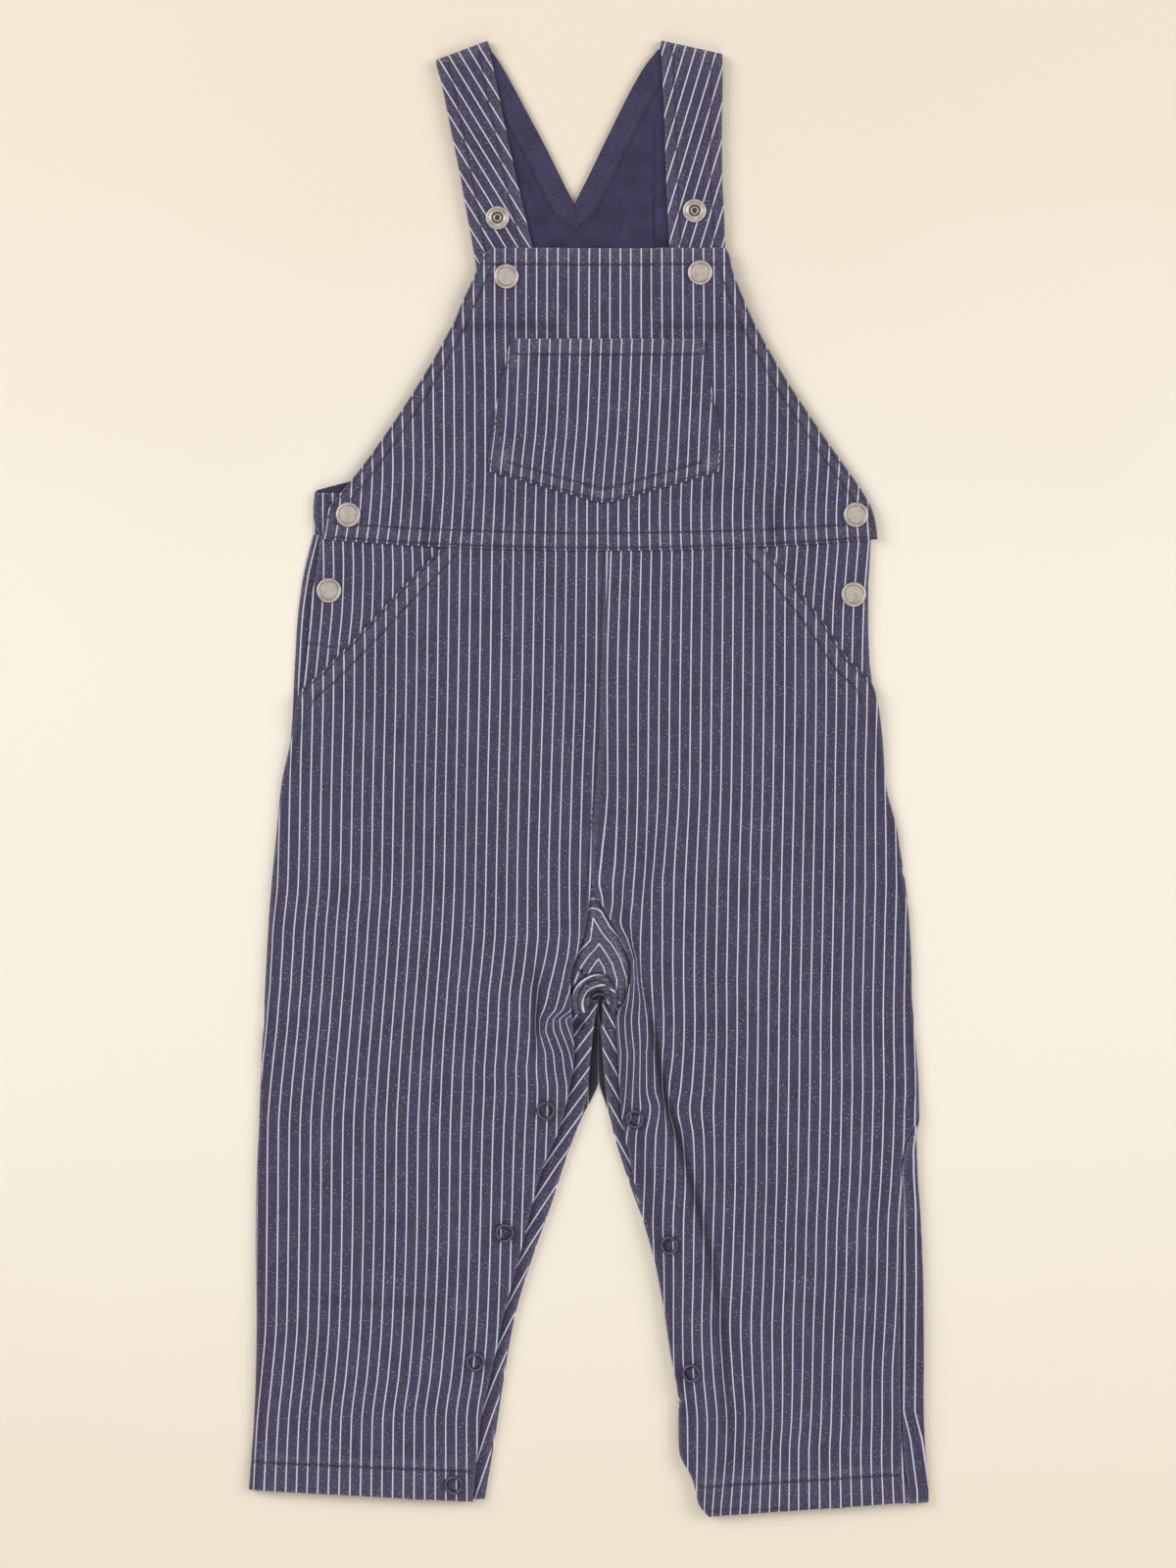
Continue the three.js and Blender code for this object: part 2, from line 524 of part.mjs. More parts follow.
// The right back panel, whose outer edge comes round to the front. Where it
// doesn't, the same points lie side by side in a strip along the edge.
function turnedBackLeg(table, columns, seamTable) {
  const rows = table.map((row) => {
    const turned = row.turn > 0;
    const centre = row.outer - (turned ? FOLD_RADIUS + CLOTH / 2 : EDGE_STRIP);
    const flat = across({ ...row, outer: centre }, columns, () => level(0));
    const edge = [];
    for (let step = FOLD_STEPS; step >= 1; step -= 1) {
      const angle = (Math.PI * step) / FOLD_STEPS;
      const beside = (EDGE_STRIP * step) / (FOLD_STEPS + 1);
      const x = centre + (turned ? FOLD_RADIUS * Math.sin(angle) : beside);
      const z = level(0) + (turned ? FOLD_RADIUS * (1 - Math.cos(angle)) : 0);
      edge.push(new THREE.Vector3(x, row.y, z));
    }
    const end = edge[0].clone();
    end.x = turned ? sectionAt(seamTable, row.y).outer + SEAM_GAP : row.outer;
    return [end, ...edge, ...flat];
  });
  return wall(rows);
}

// Half of the back bib, folded at the shoulder into its strap
function backBib(back, strap, columns) {
  const up = back.map((row) => across(row, columns, () => level(0)));
  const shoulder = up[up.length - 1];
  const turn = [];
  for (let step = 1; step < FOLD_STEPS; step += 1) {
    const angle = (Math.PI * step) / FOLD_STEPS;
    const rise = new THREE.Vector3(0, FOLD_RADIUS * Math.sin(angle), FOLD_RADIUS * (1 - Math.cos(angle)));
    turn.push(shoulder.map((point) => point.clone().add(rise)));
  }
  const down = strap.map((row) => across(row, columns, () => level(2)));
  return wall([...up, ...turn, ...down]);
}

// The plain inside of half the back bib, a little inside its edges. Below the
// height stepY its outer edge stands in at stepX, beside the hip facing.
function lining(back, stepY = -Infinity, stepX = 0) {
  const inset = back.map((row) => ({
    ...row,
    outer: row.outer - Math.sign(row.outer) * LINING_INSET,
    y: row.y - (row.y === SHOULDER_Y ? LINING_INSET : 0),
  }));
  const above = inset.filter((row) => row.y > stepY);
  const below = inset.filter((row) => row.y <= stepY).map((row) => ({ ...row, outer: stepX }));
  const step = below.length > 0 ? [{ ...below[below.length - 1], y: stepY }] : [];
  return flatPiece([...below, ...step, ...above], 3, 1);
}

function bibPoint(row, share, height) {
  const x = row.left + (row.right - row.left) * share;
  const bowed = (row.bow ?? 0) * (1 - (2 * share - 1) ** 2);
  const pointed = (row.point ?? 0) * (1 - Math.abs(2 * share - 1));
  const y = row.y - bowed - pointed;
  return new THREE.Vector3(x, y, height(x, y));
}

function bibSheet(table, columns, height, above) {
  const shares = Array.from({ length: columns + 1 }, (_, j) => j / columns);
  return wall(table.map((row) => shares.map((share) => bibPoint(row, share, height))), above);
}

// Turned metal parts, from half profiles of radius and height
function turnedPart(profile) {
  const points = profile.map(([radius, height]) => new THREE.Vector2(radius, height));
  return solid(new THREE.LatheGeometry(points, ROUND_SIDES).rotateX(Math.PI / 2));
}

function snapCap() {
  const rim = CAP_RADIUS;
  return turnedPart([[0, 0], [rim - 0.5, 0], [rim, 0.4], [rim - 0.3, 1], [rim - 1.2, 1.4], [0, 1.6]]);
}

function snapSocket() {
  const rim = SOCKET_RADIUS;
  return turnedPart([
    [1.7, 0], [rim, 0], [rim, 0.5], [rim - 0.6, 0.9], [3.2, 0.7], [2.9, 1.8], [2.1, 1.9], [1.7, 0],
  ]);
}

function snapRing() {
  const [rim, hole] = [RING_RADIUS, RING_HOLE];
  return turnedPart([[hole, 0], [rim, 0], [rim, 0.5], [rim - 0.7, 1], [hole + 0.3, 0.8], [hole, 0]]);
}

// Assembly
const dungarees = new THREE.Group();
dungarees.name = 'dungarees';

function add(name, geometry, material) {
  const mesh = new THREE.Mesh(geometry, material);
  mesh.name = name;
  dungarees.add(mesh);
  return mesh;
}

// A seam keeps half of its gap on each side
function apart(table, side) {
  return table.map((row) => ({ ...row, inner: row.inner + (side * SEAM_GAP) / 2 }));
}

add('back_leg_l', flatPiece(apart(BACK_LEG_L, -1), 4, 0), STRIPED);
add('back_leg_r', turnedBackLeg(apart(BACK_LEG_R, 1), 4, FRONT_LEG_R), STRIPED);
add('back_bib_l', backBib(apart(BACK_BIB_L, -1), STRAP_L, 4), STRIPED);
add('back_bib_r', backBib(apart(BACK_BIB_R, 1), STRAP_R, 4), STRIPED);
add('lining_l', lining(apart(BACK_BIB_L, -1), LINING_STEP_Y, LINING_STEP_X), PLAIN);
add('lining_r', lining(apart(BACK_BIB_R, 1)), PLAIN);
add('hip_facing_l', flatPiece(HIP_L, 3, 1), STRIPED);
add('hip_facing_r', flatPiece(HIP_R, 3, 1), STRIPED);
add('gusset', flatPiece(GUSSET, 4, 1), STRIPED);
add('placket_l', flatPiece(PLACKET_L, 2, 1), STRIPED);
add('placket_r', flatPiece(PLACKET_R, 2, 1), STRIPED);
add('front_leg_l', frontLeg(apart(FRONT_LEG_L, -1), 16), STRIPED);
add('front_leg_r', frontLeg(apart(FRONT_LEG_R, 1), 16), STRIPED);
add('front_bib', bibSheet(BIB, 20, bibHeight), STRIPED);
add('bib_pocket', bibSheet(POCKET, 8, (x, y) => bibHeight(x, y) + LAYER), STRIPED);

// A snap on the cloth, tipped to the slope under it. extra is its rise over a hem or a curve.
function placeSnap(place, geometry, material, heightAt, extra = 0) {
  const { x, y } = place;
  const slope = (dx, dy) => (heightAt(x - dx, y - dy) - heightAt(x + dx, y + dy)) / 2;
  const normal = new THREE.Vector3(slope(1, 0), slope(0, 1), 1).normalize();
  const snap = add(place.name, geometry, material);
  snap.quaternion.setFromUnitVectors(new THREE.Vector3(0, 0, 1), normal);
  snap.position.set(x, y, heightAt(x, y)).addScaledVector(normal, CLOTH / 2 + extra + GAP);
}

for (const place of BIB_CAPS) placeSnap(place, snapCap(), SILVER, bibHeight);
for (const place of HIP_CAPS) placeSnap(place, snapCap(), SILVER, () => level(1));
for (const place of STRAP_SOCKETS) placeSnap(place, snapSocket(), SILVER, () => level(2));
for (const place of LEG_RINGS) {
  const table = place.x < 0 ? FRONT_LEG_L : FRONT_LEG_R;
  const onHem = place.y < table[table.length - 1].y + HEM_DEPTH;
  const legHeight = (x, y) => frontLegHeight(x, y, sectionAt(table, y));
  placeSnap(place, snapRing(), NAVY_METAL, legHeight, RING_LIFT + (onHem ? HEM_EXTRA : 0));
}

export default dungarees;
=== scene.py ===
"""A small child's striped dungarees, laid flat with the front up.

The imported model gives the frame. Each cut piece of cloth is built here as a
thin closed sheet on the form of its solid, with its hems, seams, creases and
stitches. Tables are in millimetres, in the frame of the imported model: +X to
the right and +Y towards the shoulders as seen from above, +Z up.
"""

from __future__ import annotations

import json
import logging
import math
import sys
from dataclasses import dataclass, field
from enum import Enum
from functools import reduce
from typing import Callable, Sequence

import bpy
import numpy as np
from mathutils import Matrix, Vector

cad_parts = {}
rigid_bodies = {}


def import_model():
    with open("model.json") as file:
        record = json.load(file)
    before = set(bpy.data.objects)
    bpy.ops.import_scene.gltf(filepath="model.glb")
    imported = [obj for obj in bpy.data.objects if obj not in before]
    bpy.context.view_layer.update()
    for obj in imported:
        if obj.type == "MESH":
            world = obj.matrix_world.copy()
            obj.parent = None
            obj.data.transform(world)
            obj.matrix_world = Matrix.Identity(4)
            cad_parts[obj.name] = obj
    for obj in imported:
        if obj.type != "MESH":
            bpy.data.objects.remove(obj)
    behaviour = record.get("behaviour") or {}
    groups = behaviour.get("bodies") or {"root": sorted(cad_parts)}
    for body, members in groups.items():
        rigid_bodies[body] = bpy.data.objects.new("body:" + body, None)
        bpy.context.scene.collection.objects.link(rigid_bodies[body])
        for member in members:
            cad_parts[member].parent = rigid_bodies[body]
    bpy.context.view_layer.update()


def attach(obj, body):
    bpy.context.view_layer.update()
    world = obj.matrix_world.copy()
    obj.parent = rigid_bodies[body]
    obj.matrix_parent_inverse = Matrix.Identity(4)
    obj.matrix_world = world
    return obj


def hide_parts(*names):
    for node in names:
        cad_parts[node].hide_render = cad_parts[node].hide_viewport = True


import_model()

Array = np.ndarray
Point = tuple[float, float]
Field = Callable[[Array, Array], Array]
Colour = tuple[float, float, float, float]
Object = bpy.types.Object
Material = bpy.types.Material
Node = bpy.types.Node
NodeTree = bpy.types.NodeTree
Socket = bpy.types.NodeSocket

MM = 0.001
FAR = 1e9
BODY = "root"
SIDE_NAMES = {-1: "_l", 1: "_r"}
CLOTH_HALF = 0.55
LOWEST_LEVEL = 0.6
LAYER = 1.5
TURN_RADIUS = LAYER
EDGE_STEPS = (0.0, 0.08, 0.26, 0.55, 0.95)
STRIPE_PITCH = 4.8
SHOULDER_Y = 336.3

log = logging.getLogger("dungarees")


# Numbers and tables


def smooth(start: float, end: float, value: Array) -> Array:
    """Gives a smooth step from 0 at start to 1 at end.

    Args:
        start: value at which the step leaves 0.
        end: value at which the step reaches 1.
        value: where the step is read.

    Returns:
        The step's height at each value.
    """
    share = np.clip((value - start) / (end - start), 0.0, 1.0)
    return share * share * (3.0 - 2.0 * share)


def level(number: float) -> float:
    """Returns the middle height of a layer, counted from the lowest."""
    return LOWEST_LEVEL + LAYER * number


class Sections:
    """Named values at falling heights, joined by smooth curves without overshoot."""

    def __init__(self, names: str, rows: Sequence[Sequence[float]]) -> None:
        """Keeps the rows and works out the curves' slopes.

        Args:
            names: column names after y, divided by spaces.
            rows: a row of numbers for each section, y first. Last columns that a row leaves out are 0.
        """
        self.names = names.split()
        size = 1 + len(self.names)
        data = np.array([(*row, *[0.0] * (size - len(row))) for row in sorted(rows)])
        self.y = data[:, 0]
        self.values = {name: data[:, k + 1] for k, name in enumerate(self.names)}
        self.slopes = {name: self._slopes(v) for name, v in self.values.items()}

    def _slopes(self, values: Array) -> Array:
        """Gives slopes that keep each stretch between two sections monotone.

        Args:
            values: one column.

        Returns:
            The slope at each section.
        """
        step = np.diff(self.y)
        rise = np.diff(values) / step
        slopes = np.empty_like(values)
        slopes[0], slopes[-1] = rise[0], rise[-1]
        same_way = rise[:-1] * rise[1:] > 0
        w1 = 2 * step[1:] + step[:-1]
        w2 = step[1:] + 2 * step[:-1]
        safe = np.where(same_way, rise[:-1], 1.0), np.where(same_way, rise[1:], 1.0)
        mean = (w1 + w2) / (w1 / safe[0] + w2 / safe[1])
        slopes[1:-1] = np.where(same_way, mean, 0.0)
        return slopes

    def at(self, name: str, y: Array) -> Array:
        """Reads one column at heights, held level past the table's ends.

        Args:
            name: the column.
            y: where it is read.

        Returns:
            The column's value at each height.
        """
        y = np.clip(np.asarray(y, dtype=float), self.y[0], self.y[-1])
        k = np.clip(np.searchsorted(self.y, y) - 1, 0, len(self.y) - 2)
        step = self.y[k + 1] - self.y[k]
        t = (y - self.y[k]) / step
        v, s = self.values[name], self.slopes[name]
        start = v[k] * (1 + 2 * t) * (1 - t) ** 2 + s[k] * step * t * (1 - t) ** 2
        end = v[k + 1] * t * t * (3 - 2 * t) + s[k + 1] * step * t * t * (t - 1)
        return start + end

    @property
    def top(self) -> float:
        """Returns the highest section's y."""
        return float(self.y[-1])

    @property
    def bottom(self) -> float:
        """Returns the lowest section's y."""
        return float(self.y[0])


class Unevenness:
    """Smooth seeded noise over a plane, from -1 to 1."""

    CELLS = 64

    def __init__(self, seed: int) -> None:
        """Draws the lattice from a seed."""
        rng = np.random.default_rng(seed)
        self.lattice = rng.uniform(-1.0, 1.0, (self.CELLS, self.CELLS))

    def at(self, x: Array, y: Array, size: float, stretch: float = 1.0) -> Array:
        """Reads the noise.

        Args:
            x: places across.
            y: places along.
            size: width of a lump in millimetres.
            stretch: how much longer a lump is along than across.

        Returns:
            A value from -1 to 1 at each place.
        """
        u, v = x / size, y / (size * stretch)
        i, j = np.floor(u).astype(int), np.floor(v).astype(int)
        fu, fv = u - i, v - j
        fu, fv = fu * fu * (3 - 2 * fu), fv * fv * (3 - 2 * fv)
        n = self.CELLS
        a, b = self.lattice[i % n, j % n], self.lattice[(i + 1) % n, j % n]
        c, d = self.lattice[i % n, (j + 1) % n], self.lattice[(i + 1) % n, (j + 1) % n]
        return (a * (1 - fu) + b * fu) * (1 - fv) + (c * (1 - fu) + d * fu) * fv


def spread(length: float, pitch: float, near_start: float, near_end: float) -> Array:
    """Gives places along a length, finer at its two rounded ends.

    Args:
        length: whole length.
        pitch: distance between places in the middle.
        near_start: width of the finer strip at the start.
        near_end: width of the finer strip at the end.

    Returns:
        Rising places from 0 to the length.
    """
    finer = 0.62 * pitch

    def strip(width: float) -> Array:
        """Returns the places from a rounded end to the end of its finer strip."""
        count = max(1, int(round((width - EDGE_STEPS[-1]) / finer)))
        return np.concatenate([EDGE_STEPS, np.linspace(EDGE_STEPS[-1], width, count + 1)[1:]])

    first, last = strip(near_start), length - strip(near_end)[::-1]
    count = max(2, int(round((last[0] - first[-1]) / pitch)))
    middle = np.linspace(first[-1], last[0], count + 1)[1:-1]
    return np.concatenate([first, middle, last])


def widths(width: Array, count: int, near: float) -> Array:
    """Gives places across each row, at fixed distances from its edges.

    Args:
        width: width of each row.
        count: number of steps in the middle.
        near: width of the finer strips at the edges.

    Returns:
        One row of rising distances from the outer edge for each width.
    """
    edge = np.concatenate([EDGE_STEPS, np.arange(1.9, near + 0.01, 1.0)])
    middle = np.linspace(0.0, 1.0, count + 1)[1:-1]
    inner = edge[-1] + (width[:, None] - 2 * edge[-1]) * middle[None, :]
    first = np.repeat(edge[None, :], len(width), axis=0)
    return np.concatenate([first, inner, width[:, None] - edge[::-1][None, :]], axis=1)


def rounded(*edges: Array) -> Array:
    """Gives half the cloth's thickness, rounded off towards the edges.

    Args:
        edges: distance from each edge.

    Returns:
        Half thickness, 0 on an edge.
    """
    near = np.minimum.reduce(np.broadcast_arrays(*edges))
    inside = np.clip(1.0 - near / CLOTH_HALF, 0.0, 1.0)
    return CLOTH_HALF * np.sqrt(np.clip(1.0 - inside**2, 0.0, 1.0))


def bell(distance: Array, width: float) -> Array:
    """Returns a soft bump, 1 at no distance and falling towards 0 beyond a width."""
    return np.exp(-((distance / width) ** 2))


def highest(*values: Array) -> Array:
    """Returns the highest of several values at each place."""
    return reduce(np.maximum, values)


def over(row_values: Array, like: Array) -> Array:
    """Repeats the value of each row across the row."""
    return row_values[:, None] + np.zeros_like(like)


class Span:
    """Places across the rows of a panel, from its outer edge to its inner one."""

    def __init__(self, outer: Array, inner: Array, columns: int, near: float) -> None:
        """Spreads the places.

        Args:
            outer: x of the outer edge in each row.
            inner: x of the inner edge in each row.
            columns: number of steps in the middle.
            near: width of the finer strips at the edges.
        """
        width = np.abs(inner - outer)
        self.across = widths(width, columns, near)
        self.rest = width[:, None] - self.across
        self.sides = np.minimum(self.across, self.rest)
        self.share = self.across / width[:, None]
        self.x = outer[:, None] + (inner - outer)[:, None] * self.share


# Seams and stitches


STITCH_PITCH = 2.9
STITCH_HALF_LENGTH = STITCH_PITCH * 0.41
STITCH_SIDES = 6
STITCH_RINGS = 5
STITCH_RADIUS = 0.24
STITCH_FLATNESS = 0.8
STITCH_TAPER = 0.93
STITCH_RISE = 0.06
STITCH_BEND = 0.3
GROOVE_WIDTH = 0.85
PUCKER_WIDTH = 4.2


@dataclass
class Seam:
    """One row of machine stitches, with the groove that it pulls in the cloth."""

    path: list[Point]
    groove: float = 0.28
    pucker: float = 0.1
    sewn: bool = True

    def nearest(self, x: Array, y: Array) -> tuple[Array, Array]:
        """Measures places against the row.

        Args:
            x: places across.
            y: places along.

        Returns:
            The distance from the row, and how far along the row that is.
        """
        best = np.full(x.shape, FAR)
        along = np.zeros(x.shape)
        run = 0.0
        for (ax, ay), (bx, by) in zip(self.path, self.path[1:]):
            dx, dy = bx - ax, by - ay
            length = math.hypot(dx, dy)
            t = np.clip(((x - ax) * dx + (y - ay) * dy) / length**2, 0.0, 1.0)
            distance = np.hypot(x - ax - t * dx, y - ay - t * dy)
            closer = distance < best
            along = np.where(closer, run + t * length, along)
            best = np.where(closer, distance, best)
            run += length
        return best, along

    def relief(self, x: Array, y: Array, noise: Unevenness) -> Array:
        """Gives the groove and the small puckers beside it.

        Args:
            x: places across.
            y: places along.
            noise: the piece's unevenness.

        Returns:
            Heights to add.
        """
        distance, along = self.nearest(x, y)
        fine, broad = noise.at(along, along * 0.0 + 7.3, 3.4), noise.at(along, along * 0.0 + 1.7, 7.0)
        pucker = self.pucker * (fine + 0.6 * broad) * bell(distance, PUCKER_WIDTH)
        return pucker - self.groove * bell(distance, GROOVE_WIDTH)

    def marks(self) -> list[tuple[Point, Point]]:
        """Returns the place and direction of each stitch."""
        marks = []
        left = STITCH_PITCH / 2
        for (ax, ay), (bx, by) in zip(self.path, self.path[1:]):
            length = math.hypot(bx - ax, by - ay)
            if length < 1e-6:
                continue
            way = ((bx - ax) / length, (by - ay) / length)
            while left <= length:
                marks.append(((ax + way[0] * left, ay + way[1] * left), way))
                left += STITCH_PITCH
            left -= length
        return marks


def beside(line: Sequence[Point], distance: float) -> list[Point]:
    """Moves a line sideways, to its left as it runs.

    Args:
        line: the line's points.
        distance: how far it moves.

    Returns:
        The moved points.
    """
    points = np.array(line)
    way = np.gradient(points, axis=0)
    way /= np.linalg.norm(way, axis=1)[:, None]
    moved = points + distance * np.stack([-way[:, 1], way[:, 0]], axis=1)
    return [tuple(p) for p in moved]


# Meshes


@dataclass
class Grid:
    """Middle points of a sheet in rows and columns, with what its finish needs."""

    SHADE_REACH = 3
    SHADE_DEPTH = 0.5
    SHADE_BORDER = 6.0

    x: Array
    y: Array
    z: Array
    half: Array
    count: Array
    wear: Array
    shade: Array | float = 0.0

    def painted_shade(self) -> Array:
        """Returns painted shade from 0 to 1: how far each point lies below the cloth around it, plus the
        given shade.
        """
        reach = self.SHADE_REACH
        rows, columns = self.z.shape
        wide = np.pad(self.z, reach, mode="edge")
        offsets = range(0, 2 * reach + 1)
        around = sum(wide[i:i + rows, j:j + columns] for i in offsets for j in offsets) / len(offsets) ** 2
        row, column = np.indices(self.z.shape)
        border = np.minimum.reduce([row, rows - 1 - row, column, columns - 1 - column])
        inner = np.clip(border / self.SHADE_BORDER, 0.0, 1.0)
        # Painted shade: a point that lies below the cloth around it is darkened, weaker near the sheet's
        # border.
        depth = np.clip((around - self.z) / self.SHADE_DEPTH, 0.0, 1.0)
        return np.clip(inner * depth + self.shade, 0.0, 1.0)

    def mesh(self, name: str) -> bpy.types.Mesh:
        """Builds the closed thin sheet.

        Args:
            name: name of the mesh.

        Returns:
            The mesh in metres, with maps of the grain, of the wear and of the painted shade.
        """
        rows, columns = self.x.shape
        middle = np.stack([self.x, self.y, self.z], axis=-1)
        normal = np.cross(np.gradient(middle, axis=1), np.gradient(middle, axis=0))
        normal /= np.maximum(np.linalg.norm(normal, axis=-1), 1e-9)[..., None]
        lift = self.half[..., None] * normal
        upper = (middle + lift).reshape(-1, 3)
        lower = (middle - lift)[1:-1, 1:-1].reshape(-1, 3)
        top = np.arange(rows * columns).reshape(rows, columns)
        base = top.copy()
        base[1:-1, 1:-1] = rows * columns + np.arange(len(lower)).reshape(rows - 2, columns - 2)

        def quads(index: Array) -> Array:
            """Returns the corners of the faces between neighbouring points."""
            corners = index[:-1, :-1], index[:-1, 1:], index[1:, 1:], index[1:, :-1]
            return np.stack([corner.ravel() for corner in corners], axis=1)

        faces = np.concatenate([quads(top), quads(base)[:, ::-1]])
        spots = np.concatenate([upper, lower]) * MM
        mesh = bpy.data.meshes.new(name)
        mesh.from_pydata(spots.tolist(), [], faces.tolist())
        source = np.concatenate([top.ravel(), top[1:-1, 1:-1].ravel()])
        loops = faces.ravel()
        grain = np.stack([self.count.ravel(), self.y.ravel() / STRIPE_PITCH], axis=1)
        uv = mesh.uv_layers.new(name="Grain")
        uv.data.foreach_set("uv", grain[source][loops].astype(np.float32).ravel())
        # The first map is the cloth's real wear; the second is painted shade.
        for map_name, values in (("Wear", self.wear), ("PaintedShade", self.painted_shade())):
            values = np.broadcast_to(values, self.x.shape)
            attribute = mesh.attributes.new(map_name, "FLOAT", "POINT")
            attribute.data.foreach_set("value", values.ravel()[source].astype(np.float32))
        mesh.shade_smooth()
        return mesh


def place(name: str, mesh: bpy.types.Mesh, material: Material) -> Object:
    """Puts a mesh into the scene.

    Args:
        name: the object's name.
        mesh: its mesh, already in place.
        material: its finish.

    Returns:
        The new object.
    """
    piece = bpy.data.objects.new(name, mesh)
    bpy.context.scene.collection.objects.link(piece)
    mesh.materials.append(material)
    return piece


class Touch:
    """Finds the upper surface of dressed pieces from above."""

    START_HEIGHT = 0.05
    DOWN = Vector((0, 0, -1))

    def __init__(self, *pieces: Object) -> None:
        """Takes the pieces that are felt for."""
        self.pieces = pieces
        bpy.context.view_layer.update()

    def at(self, x: float, y: float) -> tuple[Vector, Vector]:
        """Finds the highest surface at a place.

        Args:
            x: place across, in millimetres.
            y: place along, in millimetres.

        Returns:
            The point in metres and the surface's normal there.
        """
        start = Vector((x * MM, y * MM, self.START_HEIGHT))
        best, normal = Vector((x * MM, y * MM, 0.0)), Vector((0, 0, 1))
        for piece in self.pieces:
            hit, point, face_normal, _ = piece.ray_cast(start, self.DOWN)
            if hit and point.z > best.z:
                best, normal = point, face_normal
        return best, normal

    def seat(self, x: float, y: float, radius: float) -> tuple[Vector, Vector]:
        """Finds how a round part sits on the surface.

        Args:
            x: middle across, in millimetres.
            y: middle along, in millimetres.
            radius: the part's radius in millimetres.

        Returns:
            The middle of its foot in metres, and its axis.
        """
        points = [self.at(x, y)[0]]
        for step in range(8):
            a = math.pi * step / 4
            points.append(self.at(x + radius * math.cos(a), y + radius * math.sin(a))[0])
        east, west, north, south = points[1], points[5], points[3], points[7]
        axis = (east - west).cross(north - south).normalized()
        middle = Vector((x * MM, y * MM, 0.0))
        rise = max((p - middle).dot(axis) for p in points)
        return middle + axis * rise, axis


def sew(name: str, seams: Sequence[Seam], cloth: Object, material: Material) -> Object:
    """Lays the stitches of a piece's seams on it, each a short bent thread.

    Args:
        name: name of the stitches' object.
        seams: the rows of stitches.
        cloth: the piece that they are sewn through.
        material: the thread.

    Returns:
        The object that holds all the stitches.
    """
    touch = Touch(cloth)
    sides, rings = STITCH_SIDES, STITCH_RINGS
    spots: list[Vector] = []
    faces: list[list[int]] = []
    grain: list[Point] = []
    for (x, y), (wx, wy) in (mark for seam in seams if seam.sewn for mark in seam.marks()):
        foot, normal = touch.at(x, y)
        way = Vector((wx, wy, 0.0))
        way = (way - normal * way.dot(normal)).normalized()
        side = normal.cross(way)
        first = len(spots)
        for ring in range(rings):
            t = ring / (rings - 1) * 2 - 1
            size = STITCH_RADIUS * math.sqrt(1 - STITCH_TAPER * t * t)
            drop = STITCH_RISE - STITCH_BEND * t * t
            for k in range(sides):
                a = 2 * math.pi * k / sides
                across, up = size * math.cos(a), size * STITCH_FLATNESS * math.sin(a) + drop
                spots.append(foot + (way * (t * STITCH_HALF_LENGTH) + side * across + normal * up) * MM)
                grain.append((k / sides, t))
        for ring in range(rings - 1):
            for k in range(sides):
                a, b = first + ring * sides + k, first + ring * sides + (k + 1) % sides
                faces.append([a, a + sides, b + sides, b])
        faces.append([first + k for k in range(sides)])
        faces.append([first + (rings - 1) * sides + k for k in reversed(range(sides))])
    mesh = bpy.data.meshes.new(name)
    mesh.from_pydata([tuple(p) for p in spots], [], faces)
    uv = mesh.uv_layers.new(name="Grain")
    flat = [value for face in faces for corner in face for value in grain[corner]]
    uv.data.foreach_set("uv", flat)
    mesh.shade_smooth()
    return place(name, mesh, material)


# Finishes


